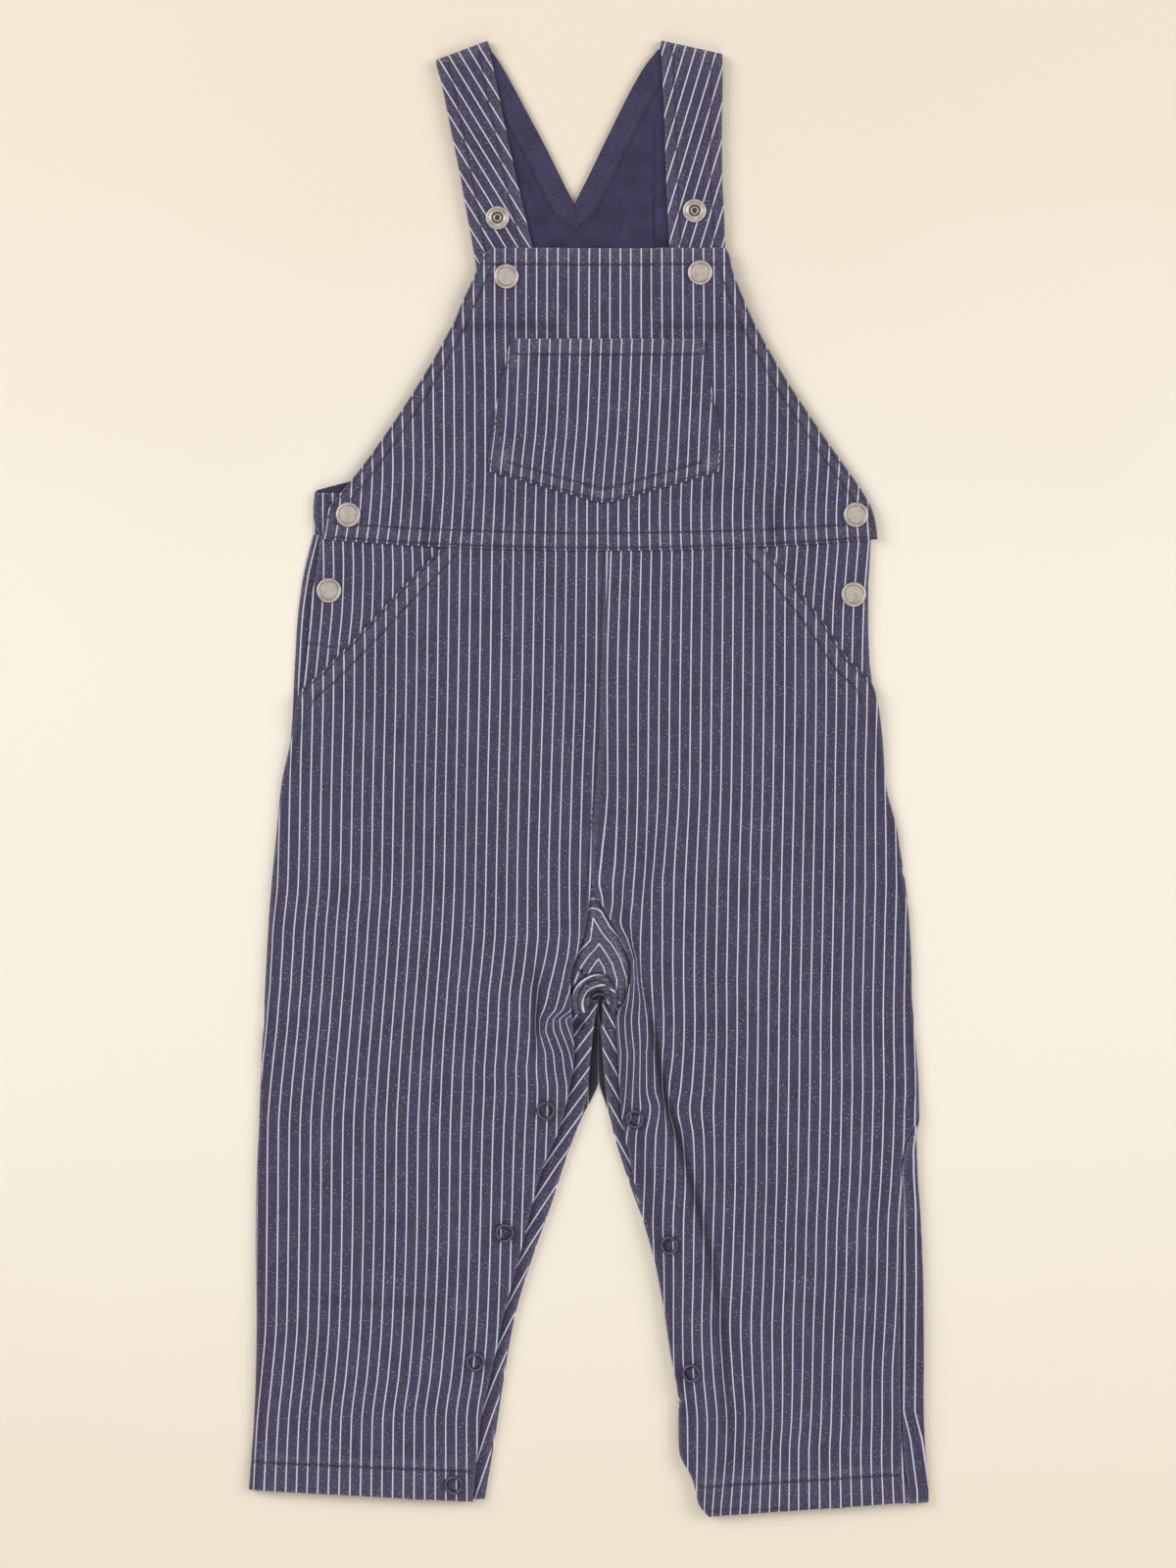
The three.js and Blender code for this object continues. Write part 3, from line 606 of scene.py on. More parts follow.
class Wiring:
    """Short ways to add nodes to one node tree."""

    MIX_FIRST, MIX_SECOND, MIX_RESULT = 6, 7, 2

    def __init__(self, tree: NodeTree) -> None:
        """Takes the tree that is filled."""
        self.tree = tree

    def add(self, kind: str, inputs: dict[int | str, object] | None = None, **settings: object) -> Node:
        """Adds a node.

        Args:
            kind: the node's type name without "ShaderNode".
            inputs: a socket or plain value for inputs, by number or name.
            settings: attributes to set on it.

        Returns:
            The node.
        """
        node = self.tree.nodes.new(kind if kind.startswith("Node") else "ShaderNode" + kind)
        for name, value in settings.items():
            setattr(node, name, value)
        self.feed(node, inputs or {})
        return node

    def feed(self, node: Node, inputs: dict[int | str, object]) -> None:
        """Links sockets to a node's inputs, or sets the inputs' own values.

        Args:
            node: the node.
            inputs: a socket or plain value for inputs, by number or name.
        """
        for key, value in inputs.items():
            if isinstance(value, Socket):
                self.tree.links.new(value, node.inputs[key])
            else:
                node.inputs[key].default_value = value

    def maths(self, operation: str, *values: object, clamp: bool = False) -> Socket:
        """Returns the result of a Math node's operation on values or sockets."""
        return self.add("Math", dict(enumerate(values)), operation=operation, use_clamp=clamp).outputs[0]

    def times(self, a: object, b: object, clamp: bool = False) -> Socket:
        """Returns the product of two values."""
        return self.maths("MULTIPLY", a, b, clamp=clamp)

    def plus(self, a: object, b: object) -> Socket:
        """Returns the sum of two values."""
        return self.maths("ADD", a, b)

    def minus(self, a: object, b: object) -> Socket:
        """Returns the first value less the second."""
        return self.maths("SUBTRACT", a, b)

    def ramp(
        self, value: object, low: object, high: object, start: float = 0.0, end: float = 1.0
    ) -> Socket:
        """Returns a value mapped smoothly, from start at low to end at high."""
        inputs = dict(enumerate((value, low, high, start, end)))
        return self.add("MapRange", inputs, interpolation_type="SMOOTHSTEP").outputs[0]

    def layers(self, base: object, *layers: tuple[object, object]) -> Socket:
        """Lays colours over a base colour, one after another.

        Args:
            base: the lowest colour.
            layers: the share and the colour of each layer.

        Returns:
            The mixed colour's socket.
        """
        for share, colour in layers:
            inputs = {0: share, self.MIX_FIRST: base, self.MIX_SECOND: colour}
            base = self.add("Mix", inputs, data_type="RGBA").outputs[self.MIX_RESULT]
        return base

    def noise(self, vector: Socket, scale: object, detail: float = 2.0) -> Socket:
        """Returns noise over a vector, with a number of lumps for each unit."""
        return self.add("TexNoise", {"Vector": vector, "Scale": scale, "Detail": detail}).outputs["Fac"]

    def stretched(self, vector: Socket, scale: tuple[float, float, float], turn: float = 0.0) -> Socket:
        """Returns a vector, scaled and then turned about its third axis."""
        inputs = {"Vector": vector, "Rotation": (0.0, 0.0, turn), "Scale": scale}
        return self.add("Mapping", inputs).outputs[0]

    def axes(self, vector: Socket) -> Sequence[Socket]:
        """Returns a vector's three values."""
        return self.add("SeparateXYZ", {0: vector}).outputs

    def grain(self) -> Socket:
        """Returns the cloth's grain: the stripe count across, and stripe widths along."""
        return self.add("UVMap", uv_map="Grain").outputs[0]

    def point_map(self, name: str) -> Socket:
        """Returns a value that the mesh's points hold."""
        return self.add("Attribute", attribute_name=name, attribute_type="GEOMETRY").outputs["Fac"]


class Effect(Enum):
    """Shader groups that several finishes share."""

    TWILL = "Twill Weave"
    STRIPES = "Woven Stripes"
    FLECKS = "White Flecks"
    FADING = "Seam Fading"


class Effects:
    """Builds each shader group once and hands out group nodes."""

    def __init__(self) -> None:
        """Builds every group."""
        stripe_inputs = {"Half Width": 0.075, "Softness": 0.03, "Break Up": 0.5}
        self.trees = {
            effect: self._group(effect, inputs, outputs, fill)
            for effect, inputs, outputs, fill in (
                (Effect.TWILL, {"Ribs": 8.0, "Waver": 0.6}, ("Height", "Yarns"), self._twill),
                (Effect.STRIPES, stripe_inputs, ("Stripe",), self._stripes),
                (Effect.FLECKS, {"Size": 7.0, "Amount": 0.5}, ("Fleck",), self._flecks),
                (Effect.FADING, {"Wear": 0.0, "Streaks": 1.0}, ("Fade",), self._fading),
            )
        }

    def _group(
        self,
        effect: Effect,
        inputs: dict[str, float],
        outputs: Sequence[str],
        fill: Callable[..., Sequence[Socket]],
    ) -> NodeTree:
        """Makes a group that works out values from the cloth's grain.

        Args:
            effect: which group.
            inputs: name and value of each input after "Grain".
            outputs: name of each output value.
            fill: adds the nodes between them, and returns the outputs' sockets.

        Returns:
            The group's tree.
        """
        tree = bpy.data.node_groups.new(effect.value, "ShaderNodeTree")
        tree.interface.new_socket("Grain", in_out="INPUT", socket_type="NodeSocketVector")
        for name, value in inputs.items():
            socket = tree.interface.new_socket(name, in_out="INPUT", socket_type="NodeSocketFloat")
            socket.default_value = value
        for name in outputs:
            tree.interface.new_socket(name, in_out="OUTPUT", socket_type="NodeSocketFloat")
        wiring = Wiring(tree)
        given = wiring.add("NodeGroupInput").outputs
        results = fill(wiring, *(given[name] for name in ("Grain", *inputs)))
        wiring.add("NodeGroupOutput", dict(enumerate(results)))
        return tree

    def _twill(self, w: Wiring, grain: Socket, ribs: Socket, waver: Socket) -> Sequence[Socket]:
        """Adds the diagonal ribs of a twill, uneven along each yarn.

        Args:
            w: the group's wiring.
            grain: the cloth's grain.
            ribs: number of ribs for each stripe.
            waver: how much the ribs waver.

        Returns:
            The height of the weave, and where its yarns show pale.
        """
        axes = w.axes(grain)
        diagonal = w.plus(w.plus(axes[0], axes[1]), w.times(w.noise(grain, 2.3), waver))
        turn = w.times(w.times(diagonal, ribs), 2 * math.pi)
        rib = w.maths("MULTIPLY_ADD", w.maths("SINE", turn), 0.5, 0.5)
        fibres = w.noise(grain, 26.0, 3.0)
        return w.plus(w.times(rib, 0.7), w.times(fibres, 0.6)), w.times(rib, fibres)

    def _stripes(
        self, w: Wiring, grain: Socket, half_width: Socket, softness: Socket, break_up: Socket
    ) -> Sequence[Socket]:
        """Adds thin stripes at whole numbers of the grain's first axis.

        Args:
            w: the group's wiring.
            grain: the cloth's grain.
            half_width: half a stripe's width, in stripe distances.
            softness: half the width of its soft edge.
            break_up: how much it is broken up by the weave.

        Returns:
            The stripes.
        """
        lumps = w.noise(w.stretched(grain, (6.0, 1.0, 1.0)), 3.2, 3.0)
        across = w.plus(w.axes(grain)[0], w.times(w.minus(lumps, 0.5), 0.035))
        off = w.maths("ABSOLUTE", w.minus(across, w.maths("ROUND", across)))
        line = w.ramp(off, w.minus(half_width, softness), w.plus(half_width, softness), 1.0, 0.0)
        gaps = w.minus(1.0, w.ramp(w.noise(grain, 21.0), 0.28, 0.5))
        return (w.times(line, w.minus(1.0, w.times(break_up, gaps)), clamp=True),)

    def _flecks(self, w: Wiring, grain: Socket, size: Socket, amount: Socket) -> Sequence[Socket]:
        """Adds small pale fibres that come up through the weave.

        Args:
            w: the group's wiring.
            grain: the cloth's grain.
            size: number of flecks for each stripe.
            amount: how pale they are.

        Returns:
            The flecks.
        """
        edge = w.minus(0.675, w.times(w.noise(grain, 0.55), 0.13))
        flecks = w.ramp(w.noise(grain, size), edge, w.plus(edge, 0.07))
        return (w.times(flecks, amount),)

    def _fading(self, w: Wiring, grain: Socket, wear: Socket, streaks: Socket) -> Sequence[Socket]:
        """Adds cloth rubbed pale on seams, in streaks across the twill.

        Args:
            w: the group's wiring.
            grain: the cloth's grain.
            wear: how much the cloth is worn.
            streaks: how strong the streaks are.

        Returns:
            The fading.
        """
        streaked = w.noise(w.stretched(grain, (1.0, 3.2, 1.0), math.radians(38)), 2.6, 3.0)
        band = w.ramp(w.times(streaked, streaks), 0.36, 0.7)
        return (w.times(band, wear, clamp=True),)

    def node(self, w: Wiring, effect: Effect, **values: object) -> Node:
        """Places a group in a material, with values or sockets for inputs, underscores for spaces."""
        inputs = {name.replace("_", " "): value for name, value in values.items()}
        return w.add("Group", inputs, node_tree=self.trees[effect])


class Finish:
    """One material on the way: its nodes, its wiring and its Principled shader."""

    def __init__(self, name: str) -> None:
        """Starts the material."""
        self.material = bpy.data.materials.new(name)
        self.material.use_nodes = True
        self.wiring = Wiring(self.material.node_tree)
        self.shader = next(n for n in self.material.node_tree.nodes if n.type == "BSDF_PRINCIPLED")

    def close(self, colour: Socket, roughness: object, **values: object) -> Material:
        """Sets the shader's inputs.

        Args:
            colour: the surface's colour.
            roughness: its roughness, a value or a socket.
            values: a value for other inputs, underscores for spaces.

        Returns:
            The material.
        """
        inputs = {name.replace("_", " "): value for name, value in values.items()}
        self.wiring.feed(self.shader, {"Base Color": colour, "Roughness": roughness, **inputs})
        return self.material

    def relief(self, height: Socket, strength: float, depth: float) -> None:
        """Gives the surface a fine relief, with its depth in metres."""
        bump = self.wiring.add("Bump", {"Strength": strength, "Distance": depth, "Height": height})
        self.wiring.feed(self.shader, {"Normal": bump.outputs[0]})


@dataclass(frozen=True)
class StripedCloth:
    """Navy twill with thin white stripes and pale flecks, darkened with painted shade in its dips, seam
    grooves and gaps.
    """

    ground: Colour = (0.046, 0.042, 0.106, 1.0)
    deep: Colour = (0.032, 0.029, 0.080, 1.0)
    pale: Colour = (0.30, 0.29, 0.36, 1.0)
    stripe: Colour = (0.66, 0.655, 0.78, 1.0)
    grey: Colour = (0.058, 0.050, 0.078, 1.0)
    # Colour of the painted shade.
    painted_shade: Colour = (0.006, 0.005, 0.010, 1.0)

    def make(self, effects: Effects) -> Material:
        """Builds the material.

        Args:
            effects: the shared groups.

        Returns:
            The material.
        """
        finish = Finish("Striped Cloth")
        w = finish.wiring
        grain = w.grain()
        twill = effects.node(w, Effect.TWILL, Grain=grain, Ribs=7.0, Waver=0.12)
        woven = effects.node(
            w, Effect.STRIPES, Grain=grain, Half_Width=0.058, Softness=0.028, Break_Up=0.38)
        flecks = effects.node(w, Effect.FLECKS, Grain=grain, Size=6.0, Amount=1.0)
        fading = effects.node(w, Effect.FADING, Grain=grain, Wear=w.point_map("Wear"), Streaks=1.0)
        stripe = woven.outputs["Stripe"]
        base = w.layers(
            self.ground,
            (w.ramp(w.noise(grain, 0.35, 3.0), 0.3, 0.7), self.deep),
            (w.ramp(w.noise(grain, 2.6, 4.0), 0.36, 0.66, 0.0, 0.42), self.grey),
            (w.times(twill.outputs["Yarns"], 0.14), self.pale),
            (w.times(flecks.outputs["Fleck"], 0.8), self.pale),
            (w.times(fading.outputs["Fade"], 0.55), self.pale),
            (stripe, self.stripe),
            # Painted shade, from the mesh's shade map.
            (w.times(w.point_map("PaintedShade"), 0.72), self.painted_shade),
        )
        finish.relief(w.plus(twill.outputs["Height"], w.times(stripe, 0.4)), 0.28, 0.0003)
        return finish.close(base, 0.93, Specular_IOR_Level=0.25, Sheen_Weight=0.12, Sheen_Roughness=0.5)


@dataclass(frozen=True)
class LiningCloth:
    """Plain navy lining, fine and matt, a little uneven in its dye, darkened with painted shade in its dips
    and seam grooves.
    """

    ground: Colour = (0.044, 0.039, 0.098, 1.0)
    deep: Colour = (0.029, 0.026, 0.066, 1.0)
    # Colour of the painted shade.
    painted_shade: Colour = (0.008, 0.007, 0.016, 1.0)
    pale: Colour = (0.105, 0.098, 0.165, 1.0)

    def make(self, effects: Effects) -> Material:
        """Builds the material.

        Args:
            effects: the shared groups.

        Returns:
            The material.
        """
        finish = Finish("Lining Cloth")
        w = finish.wiring
        grain = w.grain()
        twill = effects.node(w, Effect.TWILL, Grain=grain, Ribs=12.0, Waver=0.1)
        fading = effects.node(w, Effect.FADING, Grain=grain, Wear=w.point_map("Wear"), Streaks=1.0)
        base = w.layers(
            self.ground,
            (w.ramp(w.noise(grain, 0.4, 3.0), 0.3, 0.7), self.deep),
            (w.times(twill.outputs["Yarns"], 0.2), self.pale),
            (w.times(fading.outputs["Fade"], 0.5), self.pale),
            # Painted shade, from the mesh's shade map.
            (w.times(w.point_map("PaintedShade"), 0.6), self.painted_shade),
        )
        finish.relief(twill.outputs["Height"], 0.25, 0.0002)
        return finish.close(base, 0.95, Specular_IOR_Level=0.2, Sheen_Weight=0.1)


@dataclass(frozen=True)
class Thread:
    """Sewing thread with its twist."""

    colour: Colour = (0.022, 0.019, 0.046, 1.0)
    light: Colour = (0.060, 0.054, 0.105, 1.0)

    def make(self) -> Material:
        """Returns the material."""
        finish = Finish("Navy Thread")
        w = finish.wiring
        axes = w.axes(w.grain())
        turn = w.plus(w.times(axes[0], 2 * math.pi), w.times(axes[1], 14.0))
        strand = w.ramp(w.maths("SINE", turn), -0.6, 0.9)
        finish.relief(strand, 0.4, 0.0001)
        return finish.close(w.layers(self.colour, (strand, self.light)), 0.7)


@dataclass(frozen=True)
class SnapMetal:
    """Cast and tumbled snap metal, with painted shade that makes it darker where it is sunk."""

    name: str
    colour: Colour
    # Colour of the random mottle, and of the painted shade where the metal is sunk.
    dark: Colour
    metallic: float
    roughness: float = 0.42

    def make(self) -> Material:
        """Returns the material."""
        finish = Finish(self.name)
        w = finish.wiring
        where = w.add("TexCoord").outputs["Object"]
        fine, broad = w.noise(where, 2600.0, 4.0), w.noise(where, 420.0, 3.0)
        # Painted shade: the part's sunk places, walls and holes are mixed towards the dark colour.
        sunk = w.point_map("Wear")
        tone = w.layers(self.colour, (w.ramp(broad, 0.35, 0.75, 0.0, 0.28), self.dark), (sunk, self.dark))
        rough = w.ramp(fine, 0.3, 0.7, self.roughness - 0.08, self.roughness + 0.14)
        finish.relief(w.plus(fine, broad), 0.22, 0.0001)
        return finish.close(tone, rough, Metallic=self.metallic)


@dataclass(frozen=True)
class PaleFloor:
    """The plain cream surface under the garment, with painted shade that darkens it towards both ends along
    y.
    """

    colour: Colour = (0.870, 0.835, 0.765, 1.0)
    # Colour of the painted shade towards both ends along y.
    far: Colour = (0.815, 0.750, 0.650, 1.0)

    def make(self) -> Material:
        """Returns the material."""
        finish = Finish("Pale Floor")
        w = finish.wiring
        where = w.add("TexCoord").outputs["Object"]
        # Painted shade: the floor darkens away from the middle along y, unevenly.
        along = w.plus(w.axes(where)[1], 0.03)
        uneven = w.times(w.minus(w.noise(where, 5.0), 0.5), 0.12)
        shade_distance = w.plus(w.maths("ABSOLUTE", along), uneven)
        return finish.close(
            w.layers(self.colour, (w.ramp(shade_distance, 0.08, 0.36), self.far)), 0.9, Specular_IOR_Level=0.1)


@dataclass
class Finishes:
    """Every material of the garment, made once."""

    striped: Material
    lining: Material
    thread: Material
    silver: Material
    navy: Material

    @classmethod
    def make(cls) -> Finishes:
        """Returns the set of finishes."""
        effects = Effects()
        silver = SnapMetal("Silver Metal", (0.58, 0.53, 0.50, 1.0), (0.08, 0.07, 0.064, 1.0), 0.55)
        navy = SnapMetal("Navy Metal", (0.085, 0.078, 0.135, 1.0), (0.006, 0.005, 0.011, 1.0), 0.15)
        return cls(
            striped=StripedCloth().make(effects),
            lining=LiningCloth().make(effects),
            thread=Thread().make(),
            silver=silver.make(),
            navy=navy.make(),
        )


# Stripes as they run on the laid cloth


@dataclass
class Tracks:
    """Where some counted stripes run, by height, with the rest between them."""

    counts: Sequence[float]
    sections: Sections

    def count(self, x: Array, y: Array) -> Array:
        """Counts stripes at places, whole on a stripe.

        Args:
            x: places across.
            y: places along.

        Returns:
            The count at each place.
        """
        places = [self.sections.at(name, y) for name in self.sections.names]
        result = None
        for k in range(len(places) - 1):
            pitch = (places[k + 1] - places[k]) / (self.counts[k + 1] - self.counts[k])
            here = self.counts[k] + (x - places[k]) / pitch
            result = here if result is None else np.where(x >= places[k], here, result)
        return result


# Pieces of cloth


@dataclass(frozen=True)
class Cut:
    """A piece's flat width and length and its area in metres, its noise seed and what it rests on."""

    flat: tuple[float, float]
    area: float
    seed: int
    rests_on: tuple[str, ...] = ()


CUTS = {
    "back_leg_l": Cut((0.155, 0.438), 0.0602, 11),
    "back_leg_r": Cut((0.160, 0.444), 0.0602, 12),
    "back_bib_l": Cut((0.126, 0.349), 0.0170, 20),
    "lining_l": Cut((0.126, 0.224), 0.0130, 30, ("cloth_back_bib_l",)),
    "back_bib_r": Cut((0.126, 0.349), 0.0207, 22),
    "lining_r": Cut((0.126, 0.224), 0.0170, 32, ("cloth_back_bib_r",)),
    "hip_facing_l": Cut((0.078, 0.100), 0.0035, 41, ("cloth_back_leg_l",)),
    "hip_facing_r": Cut((0.064, 0.078), 0.0025, 42, ("cloth_back_leg_r",)),
    "gusset": Cut((0.039, 0.057), 0.0018, 43, ("cloth_back_leg_l", "cloth_back_leg_r")),
    "placket_l": Cut((0.0135, 0.240), 0.0031, 44, ("cloth_back_leg_l",)),
    "placket_r": Cut((0.0135, 0.240), 0.0027, 44, ("cloth_back_leg_r",)),
    "front_leg_l": Cut((0.150, 0.438), 0.0555, 50, ("cloth_back_leg_l",)),
    "front_leg_r": Cut((0.145, 0.444), 0.0530, 52, ("cloth_back_leg_r",)),
    "front_bib": Cut((0.256, 0.139), 0.0260, 61, ("cloth_front_leg_l", "cloth_front_leg_r")),
    "bib_pocket": Cut((0.108, 0.077), 0.0070, 62, ("cloth_front_bib",)),
}


@dataclass
class ClothPiece:
    """What each cut piece of the garment has in common."""

    SHADE_WIDTH = 0.7
    RUB_START, RUB_END = 3.2, 0.6

    name: str
    finishes: Finishes
    seams: list[Seam] = field(default_factory=list, kw_only=True)

    @property
    def cut(self) -> Cut:
        """Returns how the piece was cut."""
        return CUTS[self.name]

    def finish_piece(self, grid: Grid, lined: bool = False) -> None:
        """Builds the sheet and its stitches, and tells the frame about them.

        Args:
            grid: the sheet's middle points.
            lined: whether it is lining cloth.
        """
        label = "cloth_" + self.name
        piece = place(label, grid.mesh(label), self.finishes.lining if lined else self.finishes.striped)
        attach(piece, BODY)
        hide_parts(self.name)
        if any(seam.sewn for seam in self.seams):
            stitches = sew("stitches_" + self.name, self.seams, piece, self.finishes.thread)
            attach(stitches, BODY)
        faces = piece.data.polygons
        log.info("%s: %d faces, %.4f m2 on one side", label, len(faces), sum(p.area for p in faces) / 2)

    def relief(self, x: Array, y: Array, calm: float = 1.0) -> Array:
        """Gives the small unevenness of laid cloth and the grooves of its seams.

        Args:
            x: places across.
            y: places along.
            calm: how strong the broad unevenness is.

        Returns:
            Heights to add.
        """
        noise = Unevenness(self.cut.seed)
        broad = 0.26 * noise.at(x, y, 34.0, 2.2) + 0.12 * noise.at(x, y, 13.0, 1.8)
        height = calm * broad + 0.035 * noise.at(x, y, 4.5, 1.3)
        for seam in self.seams:
            height = height + seam.relief(x, y, noise)
        return height

    def to_seams(self, x: Array, y: Array) -> Array:
        """Returns the distance from the nearest row of stitches."""
        distances = [seam.nearest(x, y)[0] for seam in self.seams]
        return reduce(np.minimum, distances, np.full(x.shape, FAR))

    def seam_shade(self, x: Array, y: Array) -> Array:
        """Returns the painted shade of the groove that each row of stitches pulls in, from 0 to 1."""
        return 0.5 * bell(self.to_seams(x, y), self.SHADE_WIDTH)

    def rub(self, x: Array, y: Array, strength: float) -> Array:
        """Returns the wear beside each row of stitches, up to a strength."""
        return strength * smooth(self.RUB_START, self.RUB_END, self.to_seams(x, y))


def inward(side: int, edge: str, inset: float) -> float:
    """Returns an inset as a distance to the left of an "outer" or "inner" edge that runs down."""
    return inset if (edge == "outer") == (side < 0) else -inset


FOLD_NAMES = "x width height"
FOLDS = [
    Sections(FOLD_NAMES, [
        (-62, 22, 8), (-90, 24, 8, 1.4), (-116, 23, 8, 2.6), (-150, 27, 8, 3), (-181, 36, 9, 3.2),
        (-217, 44, 9, 3), (-283, 53, 10, 2.6), (-318, 56, 10, 0.8), (-334, 57, 10, 0.4)]),
    Sections(FOLD_NAMES, [
        (-70, 42, 12), (-116, 47, 14, 1.4), (-158, 57, 15, 2.2), (-217, 72, 17, 2.4), (-283, 82, 18, 2),
        (-334, 86, 18, 0.6)]),
    Sections(FOLD_NAMES, [
        (-66, -7, 8), (-92, -12, 8, 1.6), (-112, -15, 9, 1.8), (-150, -26, 11, 0.7), (-190, -36, 12)]),
    Sections(FOLD_NAMES, [
        (100, -40, 40), (20, -62, 45, 1), (-120, -82, 42, 1.5), (-240, -98, 38, 1.3),
        (-330, -102, 40, 0.5)]),
    Sections(FOLD_NAMES, [
        (100, 50, 40), (20, 70, 42, 1), (-100, 92, 34, 1.2), (-240, 116, 22, 0.8), (-334, 118, 20, 0.3)]),
]


def fold_height(x: Array, y: Array) -> Array:
    """Gives the height of the legs' main soft folds.

    Args:
        x: places across.
        y: places along.

    Returns:
        Heights to add.
    """
    height = np.zeros(np.broadcast(x, y).shape)
    for fold in FOLDS:
        inside = (y < fold.top) & (y > fold.bottom)
        shape = bell(x - fold.at("x", y), fold.at("width", y))
        height = height + np.where(inside, fold.at("height", y) * shape, 0.0)
    return height


@dataclass
class Crease:
    """A narrow soft trough or ridge that runs along a line."""

    path: list[Point]
    depth: float
    width: float

    def height(self, x: Array, y: Array) -> Array:
        """Gives the crease's height, fading towards its ends.

        Args:
            x: places across.
            y: places along.

        Returns:
            Heights to add.
        """
        distance, along = Seam(self.path).nearest(x, y)
        length = sum(math.dist(a, b) for a, b in zip(self.path, self.path[1:]))
        fade = np.sin(np.pi * np.clip(along / length, 0.0, 1.0)) ** 0.6
        return self.depth * fade * bell(distance, self.width)


@dataclass
class FrontLeg(ClothPiece):
    """A front panel, from the waist seam and slant pocket to the hem."""

    TURN_STEP = 1.2

    sections: Sections
    tracks: Tracks
    side: int
    creases: list[Crease] = field(default_factory=list)
    hem: float = 14.0
    columns: int = 92
    pitch: float = 1.6

    def edge(self, which: str, start: float, end: float, inset: float) -> list[Point]:
        """Gives a line down beside one edge of the panel.

        Args:
            which: "outer" or "inner".
            start: y at which it starts.
            end: y at which it ends.
            inset: distance into the cloth.

        Returns:
            The line's points.
        """
        y = np.linspace(start, end, 60)
        x = self.sections.at(which, y)
        if which == "inner":
            y = y - self.sections.at("drop", y)
        return beside(list(zip(x, y)), inward(self.side, which, inset))

    def hem_line(self) -> list[Point]:
        """Returns the line of the hem's stitches, just below the turned-up edge."""
        hem = self.sections.bottom + self.hem - self.TURN_STEP
        outer, inner, drop = (float(self.sections.at(name, hem)) for name in ("outer", "inner", "drop"))
        shares = np.linspace(0.02, 0.98, 40)
        return [(outer + (inner - outer) * share, hem - drop * share) for share in shares]

    def make(self) -> None:
        """Builds the panel."""
        s = self.sections
        y_row = s.top - spread(s.top - s.bottom, self.pitch, 6.0, self.hem + 2.0)
        outer = s.at("outer", y_row)
        span = Span(outer, s.at("inner", y_row) - 0.1 * self.side, self.columns, 8.0)
        x, across = span.x, span.across
        y = y_row[:, None] - s.at("drop", y_row)[:, None] * span.share
        rise = np.maximum(smooth(0.0, 9.0, np.abs(x - outer[:, None])), s.at("lie", y_row)[:, None])
        folds = fold_height(x, y) * (1.0 + 0.18 * Unevenness(self.cut.seed + 50).at(x, y, 16.0, 2.0))
        z = level(1) + LAYER * rise + folds + self.relief(x, y)
        for crease in self.creases:
            z = z + crease.height(x, y)
        from_hem, from_top = over(y_row - s.bottom, x), over(s.top - y_row, x)
        turned = smooth(self.hem, self.hem - self.TURN_STEP, from_hem)
        pressed = smooth(3.2, 0.4, across) * smooth(34.0, 44.0, y_row)[:, None]
        z = z + 0.4 * turned - 0.5 * pressed
        half = rounded(across, span.rest, from_hem, from_top)
        half = half + 0.22 * turned * np.minimum(1.0, half / CLOTH_HALF)
        above_hem = smooth(self.hem + 5.0, self.hem + 0.5, from_hem) * (1.0 - turned)
        pocket_band = smooth(30.0, 42.0, y_row)[:, None] * smooth(9.0, 7.5, across)
        wear = highest(
            0.10 * turned, 0.5 * above_hem, 0.7 * smooth(1.6, 0.2, span.sides),
            0.7 * smooth(1.3, 0.1, from_hem), self.rub(x, y, 0.32), 0.3 * pocket_band)
        self.finish_piece(Grid(x, y, z, half, self.tracks.count(x, y), wear, self.seam_shade(x, y)))


BIB_SECTIONS = Sections("left right bow", [
    (242.8, -45.2, 62.3), (239.4, -48.8, 64.3), (233.6, -50.9, 65.4), (226.8, -53.9, 67.8),
    (217.8, -58.1, 71.5), (208.8, -61.9, 75.6), (204.5, -64.3, 77.9), (195.3, -69.3, 83),
    (181.8, -77.4, 90.9), (168.3, -86, 99.7), (154.8, -95.2, 108.9, 0.5), (141.3, -105.1, 118.4, 1.4),
    (131, -113.6, 125.4, 2.8), (123.3, -119.3, 129.6, 4), (116.5, -121.5, 131.4, 5),
    (109.5, -122.3, 132.3, 5.4)])


def bib_height(x: Array, y: Array) -> Array:
    """Gives the middle height of the bib, over the straps and the waist seam.

    Args:
        x: places across.
        y: places along.

    Returns:
        Middle heights.
    """
    climb = 8.0
    strap_l = smooth(-56 - climb, -56, x) * smooth(-16 + climb, -16, x)
    strap_r = smooth(34 - climb, 34, x)
    over_strap = (strap_l + strap_r) * smooth(214 - climb, 214, y)
    over_waist = smooth(134.0, 113.0, y) * smooth(-74.0, -65.0, x) * smooth(86.0, 77.0, x)
    return level(2) + LAYER * np.maximum(over_strap, over_waist)


